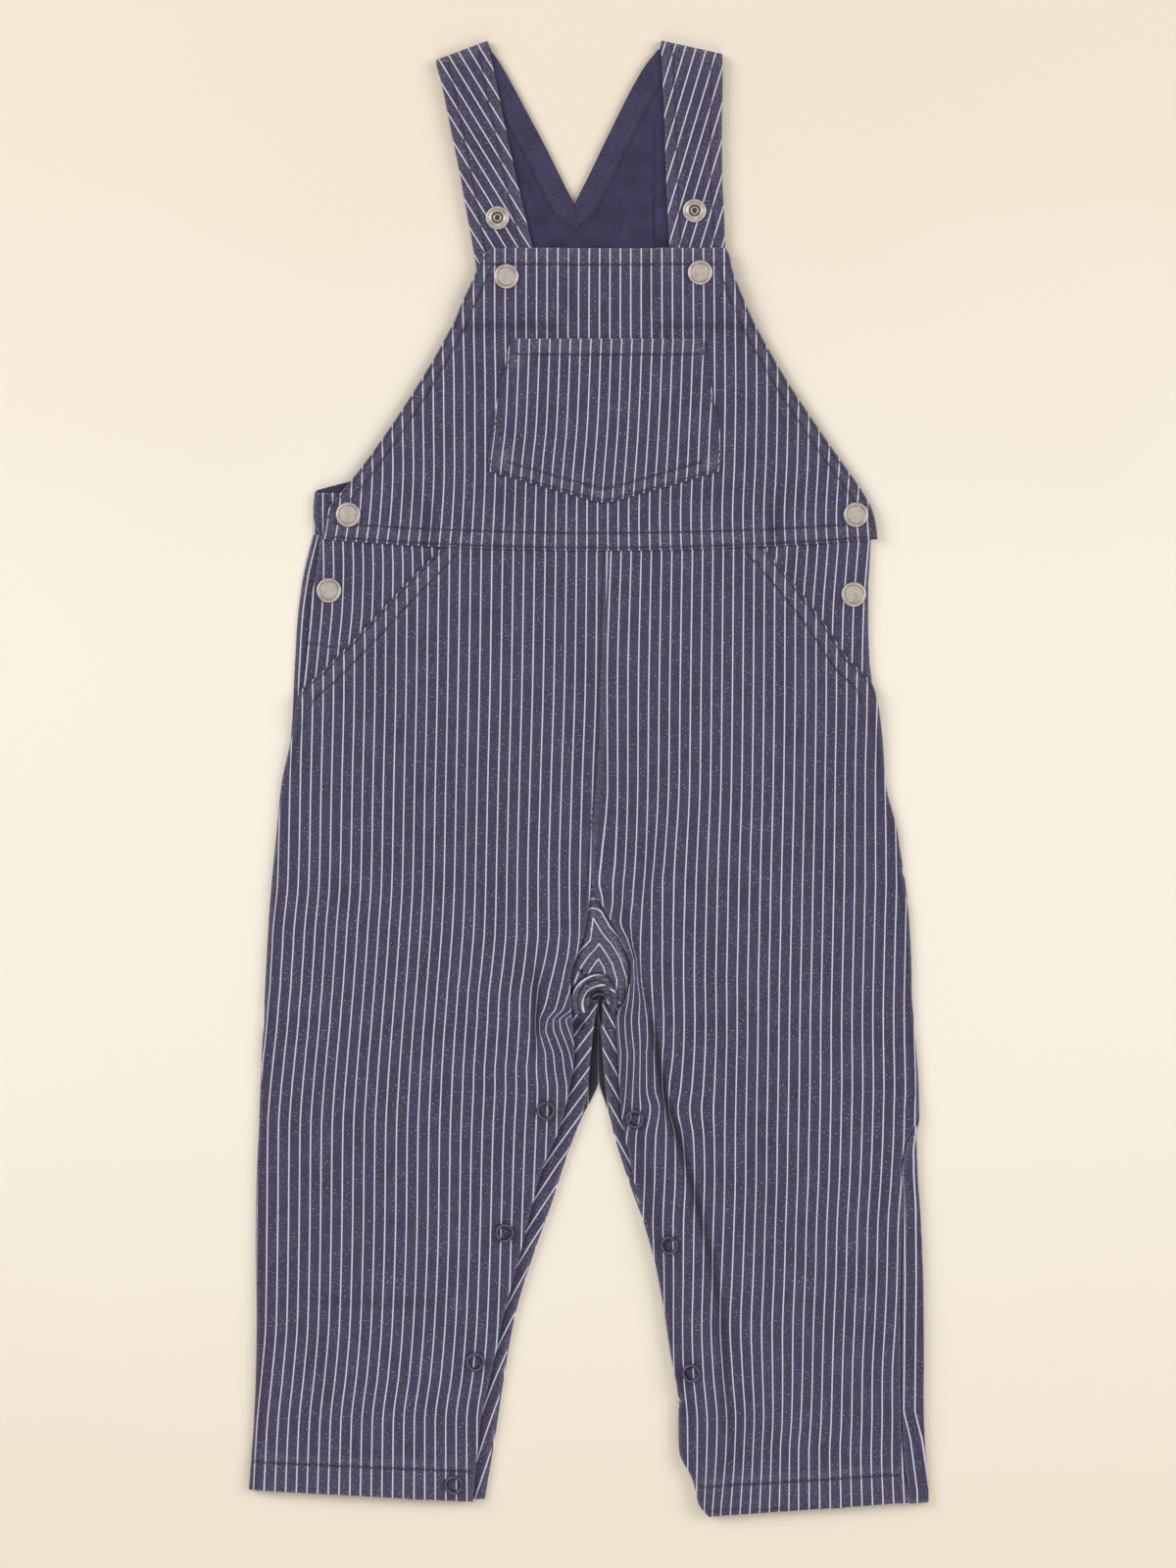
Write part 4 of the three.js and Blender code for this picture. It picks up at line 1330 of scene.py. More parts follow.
@dataclass
class FrontBib(ClothPiece):
    """The front bib, from its top band to the waistband."""

    sections: Sections = BIB_SECTIONS
    columns: int = 96
    pitch: float = 1.4

    def point(self, share: Array, y_row: Array) -> tuple[Array, Array]:
        """Finds a place on the bib.

        Args:
            share: place across from left to right, 0 to 1.
            y_row: height of the section.

        Returns:
            The place's x and y.
        """
        left, right = self.sections.at("left", y_row), self.sections.at("right", y_row)
        y = y_row - self.sections.at("bow", y_row) * (1 - (2 * share - 1) ** 2)
        return left + (right - left) * share, y

    def side_line(self, which: str, inset: float, top: float, bottom: float) -> list[Point]:
        """Gives a line beside the bib's armhole edge.

        Args:
            which: "left" or "right".
            inset: distance into the cloth.
            top: y at which it starts.
            bottom: y at which it ends.

        Returns:
            The line's points.
        """
        y = np.linspace(top, bottom, 50)
        x = self.sections.at(which, y)
        return beside(list(zip(x, y)), inset if which == "left" else -inset)

    def level_line(self, y_row: float, inset: float) -> list[Point]:
        """Gives a line across the bib at one section.

        Args:
            y_row: height of the section.
            inset: distance from both ends.

        Returns:
            The line's points.
        """
        share = np.linspace(0.0, 1.0, 50)
        x, y = self.point(share, np.full(50, y_row))
        inside = (x > x[0] + inset) & (x < x[-1] - inset)
        return list(zip(x[inside], y[inside]))

    def make(self) -> None:
        """Builds the bib."""
        s = self.sections
        y_row = s.top - spread(s.top - s.bottom, self.pitch, 8.5, 8.5)
        left = s.at("left", y_row)
        span = Span(left, s.at("right", y_row), self.columns, 8.0)
        x, y = self.point(span.share, over(y_row, span.share))
        from_top, from_base = over(s.top - y_row, x), over(y_row - s.bottom, x)
        slant = np.gradient(left, y_row)
        to_edge = span.sides / np.sqrt(1 + slant[:, None] ** 2)
        band = highest(smooth(7.9, 6.9, from_top), smooth(8.2, 7.2, from_base), smooth(6.3, 5.3, to_edge))
        z = bib_height(x, y) + self.relief(x, y, 0.75)
        z = z + 0.16 * band - 0.55 * smooth(3.0, 0.3, from_base)
        rim = 0.9 * smooth(1.8, 0.2, np.minimum(to_edge, from_top))
        wear = highest(0.30 * band, rim, self.rub(x, y, 0.35))
        half = rounded(span.sides, from_top, from_base)
        self.finish_piece(Grid(x, y, z, half, BIB_STRIPES.count(x, y), wear, self.seam_shade(x, y)))


BIB_STRIPES = Tracks((-9, 0, 12), Sections("a b c", [
    (244.8, -43.2, 0.2, 57.1), (208.8, -43.2, 0, 57.4), (177.3, -42.8, 0, 57.6), (145.8, -42.8, -0.5, 57.1),
    (118.8, -43.6, -0.9, 56.2), (103, -44.6, -0.9, 56.7)]))
POCKET_STRIPES = Tracks((-5, 5), Sections("a b", [
    (202.1, -22.5, 24.5), (190.8, -22.9, 23.9), (177.3, -23.4, 23.4), (159.3, -24.3, 22.5),
    (145.8, -25.7, 21.6), (125.5, -27.4, 20)]))
POCKET_TIP_SOFTNESS = 0.0025
POCKET_RUBS = (
    (-33.5, 191.5, 3.4), (51.0, 195.5, 3.0), (-38.5, 145.5, 4.5), (55.5, 143.5, 4.2), (5.0, 130.5, 3.2))


@dataclass
class BibPocket(ClothPiece):
    """The patch pocket on the bib, with its pointed lower edge."""

    sections: Sections = field(default_factory=lambda: Sections("left right point", [
        (201.2, -35.8, 52.9), (193.9, -37.3, 53.6), (193.2, -37.4, 53.7), (175.5, -41.6, 56.7, 0.9),
        (157.1, -44.8, 60.1, 4.5), (145.8, -46.1, 60.8, 11.7), (140.4, -45.5, 59.7, 15.1)]))

    def point(self, share: Array, y_row: Array) -> tuple[Array, Array]:
        """Finds a place on the pocket.

        Args:
            share: place across from left to right, 0 to 1.
            y_row: height of the section.

        Returns:
            The place's x and y.
        """
        left, right = self.sections.at("left", y_row), self.sections.at("right", y_row)
        slant = np.sqrt(np.abs(2 * share - 1) ** 2 + POCKET_TIP_SOFTNESS)
        y = y_row - self.sections.at("point", y_row) * (1 - slant)
        return left + (right - left) * share, y

    def outline(self, inset: float, top: float) -> list[Point]:
        """Gives the line down one side, along the lower edge and up the other.

        Args:
            inset: distance inside the edge.
            top: y at which it starts and ends.

        Returns:
            The line's points.
        """
        s = self.sections
        down = np.linspace(top, s.bottom + inset, 26)
        left = [(float(s.at("left", v)) + inset, v) for v in down]
        right = [(float(s.at("right", v)) - inset, v) for v in down[::-1]]
        share = np.linspace(0.0, 1.0, 42)
        x, y = self.point(share, np.full(42, s.bottom))
        inside = (x > left[-1][0] + 1.0) & (x < right[0][0] - 1.0)
        return left + list(zip(x[inside], y[inside] + inset * 1.04)) + right

    def make(self) -> None:
        """Builds the pocket."""
        s = self.sections
        y_row = s.top - spread(s.top - s.bottom, 1.1, 8.5, 8.0)
        span = Span(s.at("left", y_row), s.at("right", y_row), 64, 6.0)
        sides = span.sides
        x, y = self.point(span.share, over(y_row, span.share))
        from_top, from_base = over(s.top - y_row, x), over(y_row - s.bottom, x)
        band = smooth(7.8, 6.8, from_top)
        z = bib_height(x, y) + LAYER + self.relief(x, y, 0.6)
        z = z - 0.28 * smooth(2.4, 0.0, np.minimum(sides, from_base)) + 0.16 * band
        rubs = [np.exp(-((x - rx) ** 2 + (y - ry) ** 2) / radius**2) for rx, ry, radius in POCKET_RUBS]
        wear = highest(
            0.32 * band, 0.26 * smooth(6.6, 5.6, from_base), 0.5 * smooth(2.4, 1.0, sides),
            0.85 * smooth(1.2, 0.1, from_top), *rubs)
        half = rounded(sides, from_top, from_base)
        self.finish_piece(Grid(x, y, z, half, POCKET_STRIPES.count(x, y), wear, self.seam_shade(x, y)))


def nothing(x: Array, y: Array) -> Array:
    """Returns 0 at each place."""
    return np.zeros(np.broadcast(x, y).shape)


@dataclass
class FlatPanel(ClothPiece):
    """A panel in one layer, between an outer and an inner edge."""

    sections: Sections
    counting: Field
    layer: float = 0.0
    inner_shift: float = 0.0
    columns: int = 40
    pitch: float = 2.2
    near: float = 3.0
    lined: bool = False
    relief_share: float = 0.5
    rows_at: Sequence[float] = ()
    dip: Field = nothing
    shape: Field = nothing
    rubbed: Field = nothing
    shaded: Field = nothing

    def rows(self) -> Array:
        """Returns the falling heights of the rows, with those that the cut needs in place of close ones."""
        s = self.sections
        rows = s.top - spread(s.top - s.bottom, self.pitch, self.near, self.near)
        for y in self.rows_at:
            rows = rows[np.abs(rows - y) > 0.3]
        return np.sort(np.concatenate([rows, self.rows_at]))[::-1]

    def make(self) -> None:
        """Builds the panel."""
        s = self.sections
        y_row = self.rows()
        span = Span(s.at("outer", y_row), s.at("inner", y_row) + self.inner_shift, self.columns, self.near)
        x = span.x
        drop, fall = (s.at(name, y_row)[:, None] if name in s.names else 0.0 for name in ("drop", "fall"))
        y = y_row[:, None] - drop * span.share - fall * (1 - span.share)
        y = y - self.dip(x, y)
        z = level(self.layer) + self.relief_share * self.relief(x, y, 0.35) + self.shape(x, y)
        ends = over(np.minimum(s.top - y_row, y_row - s.bottom), x)
        rim = 0.7 * smooth(2.2, 0.3, np.minimum(ends, span.sides))
        wear = highest(rim, self.rub(x, y, 0.4), self.rubbed(x, y))
        shade = np.maximum(self.seam_shade(x, y), self.shaded(x, y))
        grid = Grid(x, y, z, rounded(span.sides, ends), self.counting(x, y), wear, shade)
        self.finish_piece(grid, self.lined)


@dataclass
class TurnedBackLeg(ClothPiece):
    """The right back panel, whose outer edge comes round to the front from the knee down."""

    TRACK_Y = (150.0, 160.0, 169.8, 181.9, 197.0, 230.0, 290.0, 303.0, 327.0)
    TRACK_X = (150.4, 149.6, 148.5, 148.7, 149.6, 149.9, 149.3, 152.4, 155.5)
    TURNED_PITCH = 5.1

    sections: Sections
    seam_sections: Sections
    counting: Field
    shaded: Field

    def make(self) -> None:
        """Builds the panel with its turned edge."""
        s = self.sections
        y_row = s.top - spread(s.top - s.bottom, 1.6, 3.0, 3.0)
        turn = smooth(-146.0, -155.0, y_row)
        outer, inner = s.at("outer", y_row), s.at("inner", y_row) - 0.1
        seam = self.seam_sections.at("outer", y_row) + 0.45
        centre = outer - (TURN_RADIUS + 0.6)
        turned = centre - seam + math.pi * TURN_RADIUS
        reach = turned * turn + 1.6 * (1 - turn)
        width = (centre - inner) + reach
        across = widths(width, 46, 14.0)
        sides = np.minimum(across, width[:, None] - across)
        ends = over(np.minimum(s.top - y_row, y_row - s.bottom), across)
        middle = centre[:, None]
        beyond = reach[:, None] - across
        angle = np.clip(beyond / TURN_RADIUS, 0.0, math.pi)
        past = np.clip(beyond - math.pi * TURN_RADIUS, 0.0, None)
        x = middle + np.where(beyond > 0, TURN_RADIUS * np.sin(angle) - past, beyond)
        share = np.clip((middle - x) / np.maximum(centre - inner, 1.0)[:, None], 0.0, 1.0)
        y = y_row[:, None] - s.at("drop", y_row)[:, None] * share
        z = level(0) + TURN_RADIUS * (1 - np.cos(angle))
        z = z + 0.4 * np.where(beyond > 0, 0.0, self.relief(x, y, 0.4))
        worn_corner = smooth(6.0, 2.0, across) * bell(y + 158.0, 8.0)
        wear = highest(0.7 * smooth(2.2, 0.3, np.minimum(ends, sides)), 0.9 * worn_corner)
        fold = math.pi * TURN_RADIUS / 2
        first = np.interp(-y, self.TRACK_Y, self.TRACK_X)
        turned_count = (first - x) / self.TURNED_PITCH
        at_fold = (first - middle - TURN_RADIUS) / self.TURNED_PITCH
        flat_count = self.counting(middle + beyond, y) - self.counting(middle + fold, y) + at_fold
        count = np.where(beyond > fold, turned_count, flat_count)
        self.finish_piece(Grid(x, y, z, rounded(sides, ends), count, wear, self.shaded(x, y)))


@dataclass
class BackBib(ClothPiece):
    """Half of the back bib with its strap, folded at the shoulder to the front."""

    STRIPE_START_Y = 325.8

    back: Sections
    strap: Sections
    side: int
    lean: float
    stripe_x: float
    stripe_gap: float

    def strap_line(self, which: str, inset: float) -> list[Point]:
        """Gives a line beside one edge of the strap.

        Args:
            which: "outer" or "inner".
            inset: distance into the cloth.

        Returns:
            The line's points.
        """
        y = np.linspace(self.strap.top - 1.0, self.strap.bottom + 2.0, 40)
        x = self.strap.at(which, y)
        fall = self.strap.at("fall", y) if which == "outer" else np.zeros_like(y)
        return beside(list(zip(x, y - fall)), inward(self.side, which, inset))

    def make(self) -> None:
        """Builds the half with its strap in one sheet."""
        b, t = self.back, self.strap
        run_up, run_down = b.top - b.bottom, t.top - t.bottom
        turn = math.pi * TURN_RADIUS
        run = spread(run_up + turn + run_down, 1.9, 3.0, 3.0)
        run = np.unique(np.concatenate([run, run_up + turn * np.linspace(0.0, 1.0, 15)]))
        run = run[np.concatenate([[True], np.diff(run) > 0.06])]
        angle = np.clip((run - run_up) / TURN_RADIUS, 0.0, math.pi)
        on_strap = run > run_up + turn / 2
        y_back = b.bottom + np.clip(run, 0.0, run_up)
        y_strap = t.top - np.clip(run - run_up - turn, 0.0, run_down)
        outer, inner, fall = (
            np.where(on_strap, t.at(name, y_strap), b.at(name, y_back))
            for name in ("outer", "inner", "fall"))
        inner = inner - 0.1 * self.side * smooth(run_up, run_up - 60.0, run)
        base_y = np.where(on_strap, y_strap, y_back) + TURN_RADIUS * np.sin(angle)
        base_z = level(0) + TURN_RADIUS * (1 - np.cos(angle))
        span = Span(outer, inner, 30, 3.9)
        x, sides = span.x, span.sides
        y = base_y[:, None] - fall[:, None] * (1 - span.share)
        strap_part = smooth(run_up + turn, run_up + turn + 4.0, run)[:, None]
        ends = over(np.minimum(run, run[-1] - run), x)
        z = base_z[:, None] + strap_part * self.relief(x, y, 0.5)
        z = z + 0.12 * strap_part * smooth(6.2, 5.0, sides) - 0.12 * strap_part * smooth(1.6, 0.0, sides)
        near_fold = bell(run - run_up - turn / 2, 5.0)[:, None]
        rim = highest(0.28 * smooth(6.0, 5.0, sides), 0.9 * smooth(1.5, 0.2, sides))
        wear = highest(rim * (0.3 + 0.7 * strap_part), 0.8 * near_fold, self.rub(x, y, 0.3) * strap_part)
        slanted = (x - self.stripe_x - self.lean * (self.STRIPE_START_Y - y)) / self.stripe_gap
        count = np.where(on_strap[:, None], slanted, (x + 6.0) / STRIPE_PITCH)
        self.finish_piece(
            Grid(x, y, z, rounded(sides, ends), count, wear, self.seam_shade(x, y) * strap_part))


# Snaps


@dataclass(frozen=True)
class Profile:
    """Half section of a turned part: radius, height and how sunk it is, in order; the last sets its painted
    shade.
    """

    points: tuple[tuple[float, float, float], ...]
    foot: float


# The third value of each point is painted shade: it darkens the caps' grooves and foot, the socket's middle
# and the rings' walls.
CAP = Profile((
    (0.0, 0.0, 0.2), (5.1, 0.0, 0.6), (5.5, 0.12, 0.5), (5.68, 0.4, 0.2), (5.66, 0.75, 0.0),
    (5.45, 1.08, 0.0), (5.15, 1.24, 0.0), (4.85, 1.26, 0.0), (4.6, 1.16, 0.15), (4.42, 1.0, 0.55),
    (4.25, 0.95, 0.6), (4.05, 0.99, 0.3), (3.7, 1.06, 0.1), (3.2, 1.12, 0.05), (2.4, 1.18, 0.05),
    (1.4, 1.24, 0.05), (0.0, 1.28, 0.05)), 4.6)
SOCKET = Profile((
    (0.0, 0.0, 0.5), (5.0, 0.0, 0.6), (5.3, 0.12, 0.4), (5.38, 0.35, 0.1), (5.25, 0.62, 0.0),
    (4.9, 0.8, 0.0), (4.55, 0.84, 0.0), (4.3, 0.74, 0.35), (4.15, 0.7, 0.5), (3.95, 0.78, 0.15),
    (3.6, 1.1, 0.0), (3.3, 1.35, 0.0), (3.0, 1.42, 0.0), (2.75, 1.32, 0.1), (2.6, 1.0, 0.6),
    (2.5, 0.6, 0.95), (2.2, 0.5, 1.0), (2.0, 0.55, 0.9), (1.9, 0.85, 0.3), (1.75, 1.0, 0.05),
    (1.5, 1.02, 0.05), (1.25, 0.92, 0.25), (1.12, 0.6, 0.95),
    (1.05, 0.25, 1.0), (0.6, 0.2, 1.0), (0.0, 0.2, 1.0)), 4.3)
RING = Profile((
    (2.75, 0.0, 0.9), (4.25, 0.0, 1.0), (4.42, 0.15, 1.0), (4.45, 0.45, 1.0), (4.34, 0.8, 0.7),
    (4.05, 1.08, 0.0),
    (3.65, 1.16, 0.0), (3.3, 1.06, 0.0), (3.0, 0.8, 0.8), (2.78, 0.4, 1.0)), 3.6)


@dataclass
class Snap:
    """One half of a snap, seated on the cloth that carries it."""

    SIDES = 56

    node: str
    x: float
    y: float
    profile: Profile
    material: Material
    slot: str
    gap: float = 0.0

    def make(self, touch: Touch) -> None:
        """Turns the part, seats it and tells the frame about it.

        Args:
            touch: feels for the cloth under it.
        """
        middle, axis = touch.seat(self.x, self.y, self.profile.foot)
        turn = Vector((0, 0, 1)).rotation_difference(axis).to_matrix().to_4x4()
        matrix = Matrix.Translation(middle + axis * self.gap * MM) @ turn
        spots: list[tuple[float, ...]] = []
        sunk: list[float] = []
        rings: list[range] = []
        for radius, height, deep in self.profile.points:
            size = 1 if radius == 0 else self.SIDES
            rings.append(range(len(spots), len(spots) + size))
            for k in range(size):
                a = 2 * math.pi * k / self.SIDES
                local = Vector((radius * math.cos(a), radius * math.sin(a), height)) * MM
                spots.append(tuple(matrix @ local))
                sunk.append(deep)
        name = "snap_" + self.node
        mesh = bpy.data.meshes.new(name)
        mesh.from_pydata(spots, [], self.faces(rings))
        # The map holds painted shade from the profile, for the metal's finish.
        mesh.attributes.new("Wear", "FLOAT", "POINT").data.foreach_set("value", sunk)
        mesh.shade_smooth()
        piece = place(name, mesh, self.material)
        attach(piece, BODY)
        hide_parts(self.node)
        log.info("%s at %.1f, %.1f", name, self.x, self.y)

    def faces(self, rings: list[range]) -> list[list[int]]:
        """Joins the rings of points, and the last to the first on a part with a hole.

        Args:
            rings: indices of the points of each ring.

        Returns:
            The corners of each face.
        """
        pairs = list(zip(rings, rings[1:]))
        if len(rings[0]) > 1:
            pairs.append((rings[-1], rings[0]))
        faces = []
        for one, two in pairs:
            for k in range(self.SIDES):
                n = (k + 1) % self.SIDES
                if len(one) == 1:
                    faces.append([one[0], two[n], two[k]])
                elif len(two) == 1:
                    faces.append([one[k], one[n], two[0]])
                else:
                    faces.append([one[k], one[n], two[n], two[k]])
        return faces


# Studio


LIGHTS = (
    ("key", (-1.7, 0.9, 1.25), 1.3, 30.5, (1.0, 0.99, 0.975)),
    ("fill", (1.9, 0.5, 1.3), 1.4, 28.0, (1.0, 0.99, 0.97)),
    ("front", (0.1, -1.9, 1.3), 1.5, 18.0, (1.0, 0.99, 0.97)),
    ("top", (0.0, 0.5, 2.6), 1.6, 6.0, (1.0, 0.99, 0.97)),
)


@dataclass
class Studio:
    """Floor, lights and the camera that looks straight down."""

    SENSOR = 36.0
    FLOOR_REACH = 4.0
    ROOM_COLOUR = (1.0, 0.87, 0.72, 1.0)
    ROOM_STRENGTH = 0.3

    frame_height: float = 0.720
    lens: float = 85.0
    middle: tuple[float, float] = (-0.00045, -0.0027)

    def make(self) -> None:
        """Builds the floor, the lights and the camera."""
        self._floor()
        self._camera()
        for light in LIGHTS:
            self._light(*light)
        world = bpy.data.worlds.new("Soft Room")
        world.use_nodes = True
        background = world.node_tree.nodes["Background"]
        background.inputs["Color"].default_value = self.ROOM_COLOUR
        background.inputs["Strength"].default_value = self.ROOM_STRENGTH
        bpy.context.scene.world = world
        bpy.context.scene.view_settings.view_transform = "Standard"

    def _floor(self) -> None:
        """Lays the pale floor."""
        size = self.FLOOR_REACH
        mesh = bpy.data.meshes.new("pale_floor")
        corners = [(-size, -size, 0.0), (size, -size, 0.0), (size, size, 0.0), (-size, size, 0.0)]
        mesh.from_pydata(corners, [], [[0, 1, 2, 3]])
        place("pale_floor", mesh, PaleFloor().make())

    def _camera(self) -> None:
        """Hangs the camera over the middle of the picture."""
        data = bpy.data.cameras.new("camera")
        data.lens = self.lens
        data.sensor_width = self.SENSOR
        camera = bpy.data.objects.new("camera", data)
        distance = self.frame_height * self.lens / self.SENSOR
        camera.location = (self.middle[0], self.middle[1], distance)
        bpy.context.scene.collection.objects.link(camera)
        bpy.context.scene.camera = camera

    def _light(
        self, name: str, at: tuple[float, float, float], size: float, power: float, colour: tuple
    ) -> None:
        """Hangs a square soft light that looks at the garment.

        Args:
            name: the light's name.
            at: where it hangs.
            size: its side.
            power: its power in watts.
            colour: its colour.
        """
        data = bpy.data.lights.new(name, "AREA")
        data.shape = "SQUARE"
        data.size = size
        data.energy = power
        data.color = colour
        light = bpy.data.objects.new(name, data)
        light.location = at
        light.rotation_euler = Vector(at).to_track_quat("Z", "Y").to_euler()
        bpy.context.scene.collection.objects.link(light)


# The garment's tables


FRONT_LEG_L = Sections("outer inner drop lie", [
    (111.6, -62.1, 8.7, 0, 1), (105.3, -68, 8.6, 0, 1), (87.3, -85.5, 8.1, 0, 1), (69.3, -102.2, 7.3, 0, 1),
    (51.3, -119.7, 6.7, 0, 1), (36.9, -133.7, 6.3, 0, 1), (19.8, -136.1, 5.8, 0, 0.3), (-2.7, -140.6, 4.5),
    (-25.2, -142.9, 2.7), (-47.7, -145.1, 1), (-70.2, -146.5, -2.2), (-81.5, -147.4, -5.9),
    (-92.7, -148, -8.6), (-110.7, -148.8, -7.7), (-126.5, -150, -6.8), (-142.2, -150.3, -9),
    (-160.2, -151, -13.5), (-178.2, -151.9, -21.2), (-200.7, -152.4, -27.4), (-223.2, -152.5, -32.9),
    (-245.7, -152.1, -39.1), (-268.2, -152.4, -44.1, 1.4), (-290.7, -153.4, -49.5, 3.1),
    (-326.2, -155.9, -53.3, 5.4)])
FRONT_LEG_R = Sections("outer inner drop lie", [
    (111.6, 73.4, 8.7, 0, 1), (107.1, 78.3, 8.6, 0, 1), (87.3, 95.4, 8.1, 0, 1), (69.3, 109.1, 7.3, 0, 1),
    (55.8, 117.9, 6.8, 0, 1), (41.4, 130.6, 6.4, 0, 1), (19.8, 134.4, 5.8, 0, 0.3), (-2.7, 136.1, 4.5),
    (-25.2, 141.6, 2.7), (-47.7, 144.3, 1.3), (-61.2, 146.5, 7.7), (-74.7, 147.4, 15.3),
    (-88.2, 147.9, 19.4), (-99, 148, 17.6), (-110.7, 148.9, 12.2), (-126.5, 150.2, 13.1),
    (-142.2, 151.2, 14), (-150, 151.3, 14.6, 0, 0.6), (-156, 150.6, 15.1, 0, 1), (-160, 149.2, 15.7, 0, 1),
    (-163, 147.6, 16.4, 0, 1), (-168, 144.9, 17.3, 0, 1), (-173, 143.8, 18.4, 0, 1),
    (-178.2, 143.2, 19.4, 0, 1), (-198.5, 144, 23.9, 0, 1), (-223.2, 143.1, 30.6, 0, 1),
    (-245.7, 142.8, 34.8, 0, 1), (-265.5, 142.8, 37.8, 0, 1), (-279, 142.9, 40.8, 0.6, 1),
    (-283.7, 142.9, 42.3, 1.2, 1), (-287.3, 143, 41.2, 1.5, 1), (-296.9, 143.2, 41.1, 3, 1),
    (-304.5, 143.4, 41.5, 4.3, 1), (-308.7, 143.6, 43.2, 4.8, 1), (-314.4, 144.1, 46.9, 5.4, 1),
    (-319.9, 144.7, 48.8, 5.9, 1), (-326.3, 145.6, 50.3, 6.2, 1), (-332, 146.5, 54.9, 6.4, 1)])
# The back legs' inner edges run in under the crotch, from about y -99 down to -150, until they meet: a dark
# sheet put where the slit between the plackets shows only shade, darkened further with painted shade by
# gap_shade.
BACK_LEG_L = Sections("outer inner drop", [
    (111.6, -126.5, -0.4), (91.8, -131.2, 0.1), (72.9, -133.7, 0.6), (49.1, -135.1, 1.1),
    (19.8, -136.7, 1.6), (-2.7, -141.1, 2), (-25.2, -143.4, 2.5), (-60, -146.6, 3.2), (-99, -148.8, 4.4),
    (-116.1, -149.6, 4.4), (-130, -150.3, 4.4), (-139, -150.7, 4.2), (-147.2, -151, 1.2),
    (-153, -151.2, -2.0), (-158.4, -151.3, -4.5), (-173.7, -152.1, -10.3), (-196.2, -152.8, -17.6),
    (-216.9, -152.9, -25), (-245.7, -152.5, -33.8), (-273.6, -152.9, -39.1, 1.4),
    (-299.2, -154, -43.2, 3.1), (-326.2, -156.1, -47.9, 4.6)])
BACK_LEG_R = Sections("outer inner drop", [
    (111.6, 130.1, -0.4), (91.8, 128.8, 0.1), (72.9, 128.7, 0.6), (49.1, 129.6, 1.1), (19.8, 134.9, 1.6),
    (-2.7, 136.5, 2), (-25.2, 142, 2.5), (-60, 146.9, 3.2), (-99, 148.6, 4.6), (-116.1, 150.1, 4.4),
    (-130, 150.7, 4.6), (-139, 151.1, 4.8), (-149.8, 151.7, 7.8), (-157, 151.5, 10.1),
    (-163.8, 150.3, 11.6), (-173.7, 150.5, 14.6), (-183.9, 150.9, 18), (-194, 151.7, 21.6),
    (-200.7, 152.1, 24.1), (-223.2, 153.1, 31.1), (-245.7, 153.6, 35.3), (-268.2, 153.7, 38.9),
    (-283.7, 153.6, 42.6, 1.2), (-290.7, 153.6, 41.6, 1.8), (-304.5, 154.2, 41.9, 4.3),
    (-308.7, 154.4, 43.6, 4.8), (-314.4, 154.9, 47.3, 5.4), (-319.9, 155.3, 49.2, 5.9),
    (-326.3, 155.8, 50.8, 6.2), (-332, 156.1, 55.5, 6.4)])
BACK_BIB_L = [
    (112, -126.5, -0.5, 0), (123.3, -126.5, -0.9, 0), (131.3, -125.9, -1.3, 0), (136.8, -108.4, -1.6, 0),
    (150.3, -94.5, -2, 0), (172.8, -78.5, -2.9, 0), (195.3, -66, -3.8, 0), (217.8, -56, -5, 0),
    (240.3, -50.5, -5.9, 0), (262.9, -50.1, -6.7, 0),
    (263.9, -50.2, -7.1, 0), (265, -50.3, -7.7, 0), (276.3, -52.2, -13.5, 0), (289.8, -55, -20.2, 1.8),
    (303.3, -59, -27.4, 3.6), (316.8, -64.1, -34.6, 5.4), (329.4, -68.6, -41.9, 7.7), (336.3, -70, -46, 9)]
BACK_BIB_R = [
    (112, 130.1, -0.5, 0), (123.3, 127.5, -0.9, 0), (136.8, 117.5, -1.6, 0), (154.8, 105, -2.2, 0),
    (177.3, 88, -3.1, 0), (199.8, 74, -4, 0), (222.3, 65, -5, 0), (244.8, 61.5, -5.9, 0),
    (262.9, 61, -6.5, 0), (263.9, 61, -6.2, 0), (265, 60.9, -5.7, 0), (276.3, 60.2, 0, 0),
    (289.8, 60, 6.5, 1.4), (303.3, 60.2, 13.1, 2.7), (316.8, 60.6, 20, 4), (329.4, 60.9, 27.8, 5.4),
    (336.3, 61.2, 33, 6.3)]
STRAP_L = Sections("outer inner fall", [
    (336.3, -70, -46, 9), (325, -67.5, -43.8, 7.2), (302, -63.5, -39.1, 4), (276, -58.7, -33.5, 1.8),
    (259.7, -56, -29.7, 0.9), (244, -53.3, -26.1), (217, -48.9, -20.5)])
STRAP_R = Sections("outer inner fall", [
    (336.3, 61.2, 33, 6.3), (325, 61.3, 33.5, 5.2), (302, 60.9, 34.5, 3), (276, 61.1, 35.3, 1.4),
    (259.7, 61.9, 36, 0.5), (244, 62.4, 36.9), (217, 63.4, 38.2)])
HIP_L = Sections("outer inner", [
    (131, -125.9, -105.3), (121, -126.3, -105.3), (111.7, -124, -105.3), (111.2, -123.7, -55.4),
    (96.3, -124.9, -67), (83.2, -127.2, -79.7), (62.6, -128.9, -99), (46.8, -130.7, -113.9),
    (32.4, -133.2, -127.4)])
HIP_R = Sections("outer inner", [
    (111.2, 129.4, 68), (96.3, 128.6, 79.2), (83.2, 127.8, 88.7), (62.6, 128, 104), (46.8, 129.4, 117.5),
    (34.2, 131.8, 127.4)])
NECK_POINT_Y = 263.0
UNDERLAP_TOP = 131.3
UNDERLAP_INNER = -105.0
GUSSET = Sections("outer inner", [
    (-50, 0, 3), (-56.7, -3, 7), (-68, -7, 15.4), (-80.1, -12, 21.5), (-92.7, -14.5, 24.5),
    (-100.4, -11, 20.5)])
